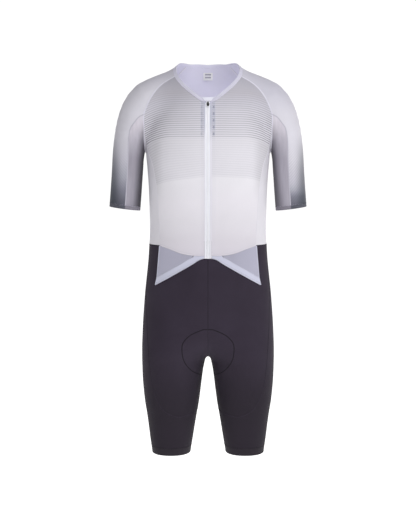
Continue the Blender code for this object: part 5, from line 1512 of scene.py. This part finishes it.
zip_stitch = settle(front_grid[: -2 * FINER, 0] + (0.0026, 0, 0))
facing_stitch = settle(front_grid[: -2 * FINER, 0] + (0.0092, 0, 0))
hem_stitch = front_grid[-2, 1:-1]
neck_stitch = settle(neck_foot + 0.16 * (neck_edge - neck_foot))[1:]
waist_line = np.concatenate([side_bottom, back_bottom[-2::-1]])
pad_outline = np.concatenate([
    pad_grid[0, PAD_HALF_COLUMNS:], pad_lines[-1][1:-1], pad_grid[-1, : PAD_HALF_COLUMNS - 1 : -1]
])
leg_seams = [shorts_grids["front"][:, -1], shorts_grids["back"][:, -1]]
inseam = shorts_grids["front"][SEAT_STEPS:, 0]
middle_seams = [shorts_grids["front"][: SEAT_STEPS + 1, 0], shorts_grids["back"][: SEAT_STEPS + 1, 0]]
band_seams = [ring_grid[0, : SHORTS_STEPS + 1], ring_grid[0, -SHORTS_STEPS - 1 :]]
cuff_top, cuff_foot = cuff_grid[0], cuff_grid[-2]
gripper_top = hem_grid[0]
tail_stitches = [
    settle(band_grid[0] + share * (band_grid[-1] - band_grid[0])) for share in (0.10, 0.72, 0.82, 0.92)
]
tail_edge = np.concatenate([tail_grid[:, -1], band_grid[1:, -1]])

for side, way in SIDES:
    front, shorts, tail, sleeve = (node + side for node in ("front_", "shorts_front_", "tail_", "sleeve_"))
    sewn("seams_raglan_" + side, [
        strip_mesh(raglan_front, way, 0.0036, 0.00035, aside=-0.0010),
        strip_mesh(raglan_back, way, 0.0036, 0.00035, aside=0.0010),
    ], pale_strip, sleeve, "band_lavender")
    sewn("seams_side_" + side, [
        strip_mesh(line, way, 0.0026, 0.00030)
        for line in (armpit_front, armpit_back, underarm)
    ], pale_strip, front, "band_lavender")
    sewn("seams_flank_" + side, [
        strip_mesh(line, way, 0.0022, 0.00026) for line in (flank_front, flank_back)
    ], jersey_strip, front, "jersey_white")
    sewn("seams_sleeve_" + side, [
        strip_mesh(line, way, 0.0026, 0.00030) for line in (sleeve_seam_front, sleeve_seam_back)
    ], grey_strip, sleeve, "undersleeve_grey")
    sewn("seams_tail_" + side, [
        strip_mesh(tail_edge, way, 0.0024, 0.00030, overlap(tail_edge), aside=-0.0011)
    ], tail_strip, tail, "band_lavender")
    sewn("seams_shorts_" + side, [
        *[strip_mesh(line, way, 0.0030, 0.00032) for line in leg_seams + [inseam] + band_seams],
        strip_mesh(waist_line, way, 0.0032, 0.00034),
    ], dark_strip, shorts, "shorts_charcoal")
    sewn("seam_pad_" + side, [
        strip_mesh(pad_outline, way, 0.0024, 0.00034)
    ], pad_strip, shorts, "shorts_charcoal")
    sewn("threads_jersey_" + side, [
        thread_mesh(raglan_front, way, 0.0026, 0.0011, 0.00036, aside=-0.0010),
        thread_mesh(raglan_back, way, 0.0026, 0.0011, 0.00036, aside=0.0010),
        *[thread_mesh(line, way, 0.0026, 0.0006, 0.00027) for line in (flank_front, flank_back)],
        *[thread_mesh(line, way, 0.0026, 0.0008, 0.00031) for line in (armpit_front, armpit_back)],
    ], pale_thread, front, "band_lavender")
    sewn("threads_front_" + side, [
        thread_mesh(zip_stitch, way, 0.0024, 0.0, 0.00005),
        thread_mesh(facing_stitch, way, 0.0024, 0.0, 0.00005),
        thread_mesh(neck_stitch, way, 0.0024, 0.0, NECKBAND_RAISE + 0.00005),
    ], pale_thread, front, "band_lavender")
    sewn("threads_hem_" + side, [
        thread_mesh(hem_stitch, way, 0.0024, 0.0, OVERLAP + 0.00005),
        *[thread_mesh(line, way, 0.0024, 0.0, OVERLAP + 0.00005) for line in tail_stitches],
    ], grey_thread, front, "band_lavender")
    sewn("threads_sleeve_" + side, [
        thread_mesh(line, way, 0.0026, 0.0008, 0.00031) for line in (sleeve_seam_front, sleeve_seam_back)
    ], grey_thread, sleeve, "undersleeve_grey")
    sewn("threads_cuff_" + side, [
        thread_mesh(cuff_top, way, 0.0026, 0.0009, 0.00010, closed=True),
        thread_mesh(cuff_foot, way, 0.0024, 0.0, 0.00005, closed=True),
    ], cuff_thread, sleeve, "undersleeve_grey")
    sewn("seams_inside_" + side, [
        strip_mesh(raglan_back, way, 0.0052, 0.00030, -SHELL - 0.0002)
    ], inner_strip, "back", "band_lavender")
    # A darker stitch line inside each back raglan seam, coloured so that it also stands as painted shade
    # along the seam's edge.
    sewn("threads_and_shade_inside_" + side, [
        thread_mesh(raglan_back, way, 0.0020, 0.0002, -SHELL - 0.0006, aside=0.0026)
    ], inside_thread_and_shade, "back", "band_lavender")
    sewn("threads_shorts_" + side, [
        *[thread_mesh(line, way, 0.0030, 0.0009, 0.00033) for line in leg_seams + [inseam] + band_seams],
        thread_mesh(waist_line, way, 0.0030, 0.0010, 0.00036),
        thread_mesh(gripper_top, way, 0.0028, 0.0010, 0.00010, closed=True),
    ], dark_thread, shorts, "shorts_charcoal")
sewn("seams_middle", [
    strip_mesh(line, SIDES[0][1], 0.0030, 0.00034) for line in middle_seams
], dark_strip, "shorts_front_left", "shorts_charcoal")

# The studio: a pale floor and background, a large soft key light to the right, a weak fill to the left, one
# light from behind, one from above, a small one in the neck, and the camera at the photograph's angle.
FLOOR_HEIGHT, FLOOR_RADIUS = -1.30, 14.0
CAMERA_PLACE, CAMERA_AIM = (0.0, -2.8, -0.25), (0.0, 0.0, -0.5044)
IMAGE_WIDTH, FOCAL_PIXELS, SENSOR = 416, 1081.36, 36.0


def aimed(made, place, aim):
    """An object put at a place and turned so that its own -Z points at the aim."""
    made.location = place
    made.rotation_euler = (Vector(aim) - Vector(place)).to_track_quat("-Z", "Y").to_euler()
    bpy.context.scene.collection.objects.link(made)
    return made


def soft_light(name, place, aim, size, power, colour):
    """A soft rectangular lamp at a place, aimed at a point."""
    lamp = bpy.data.lights.new(name, "AREA")
    lamp.shape = "RECTANGLE"
    lamp.size, lamp.size_y = size
    lamp.energy = power
    lamp.color = colour
    return aimed(bpy.data.objects.new(name, lamp), place, aim)


bpy.context.scene.view_settings.view_transform = "Standard"
camera = bpy.data.cameras.new("photo_camera")
camera.sensor_fit = "HORIZONTAL"
camera.sensor_width = SENSOR
camera.lens = FOCAL_PIXELS / IMAGE_WIDTH * SENSOR
bpy.context.scene.camera = aimed(bpy.data.objects.new("photo_camera", camera), CAMERA_PLACE, CAMERA_AIM)

soft_light("key_light", (2.3, -1.9, 0.6), (0.0, 0.0, -0.5), (1.6, 2.2), 21.0, (1.0, 0.99, 0.98))
soft_light("fill_light", (-1.9, -2.2, 0.0), (0.0, 0.0, -0.5), (1.4, 2.2), 0.4, (0.98, 0.99, 1.0))
soft_light("back_light", (2.0, 1.9, 0.4), (0.0, 0.0, -0.5), (1.6, 2.0), 8.0, (1.0, 1.0, 1.0))
soft_light("top_light", (0.4, -1.1, 1.5), (0.0, 0.03, -0.1), (1.0, 1.0), 20.5, (1.0, 1.0, 1.0))
# A small lamp low inside the neck, out of the camera's sight, evens the lining as in the photograph.
soft_light("neck_light", (0.03, -0.045, -0.165), (0.045, 0.06, -0.030), (0.10, 0.05), 0.085, (1.0, 1.0, 1.0))

floor_mesh = bpy.data.meshes.new("floor")
floor_turn = np.arange(64) * 2 * math.pi / 64
floor_points = FLOOR_RADIUS * np.stack([np.cos(floor_turn), np.sin(floor_turn), 0 * floor_turn], axis=1)
floor_points[:, 2] = FLOOR_HEIGHT
floor_mesh.from_pydata(floor_points.tolist(), [], [list(range(64))])
floor_finish = bpy.data.materials.new("pale_floor")
floor_finish.use_nodes = True
floor_shader = floor_finish.node_tree.nodes["Principled BSDF"]
for name, value in (
    ("Base Color", (0.86, 0.86, 0.86, 1.0)), ("Roughness", 0.9),
    ("Emission Color", (1.0, 1.0, 1.0, 1.0)), ("Emission Strength", 1.0),
):
    floor_shader.inputs[name].default_value = value
floor_mesh.materials.append(floor_finish)
floor = bpy.data.objects.new("floor", floor_mesh)
bpy.context.scene.collection.objects.link(floor)

world = bpy.data.worlds.new("studio")
bpy.context.scene.world = world
world.use_nodes = True
tree = world.node_tree
background = tree.nodes["Background"]
ray = tree.nodes.new("ShaderNodeLightPath")
level = tree.nodes.new("ShaderNodeMapRange")
level.inputs["To Min"].default_value = 0.20
level.inputs["To Max"].default_value = 1.05
tree.links.new(ray.outputs["Is Camera Ray"], level.inputs["Value"])
tree.links.new(level.outputs["Result"], background.inputs["Strength"])
background.inputs["Color"].default_value = (1.0, 1.0, 1.0, 1.0)
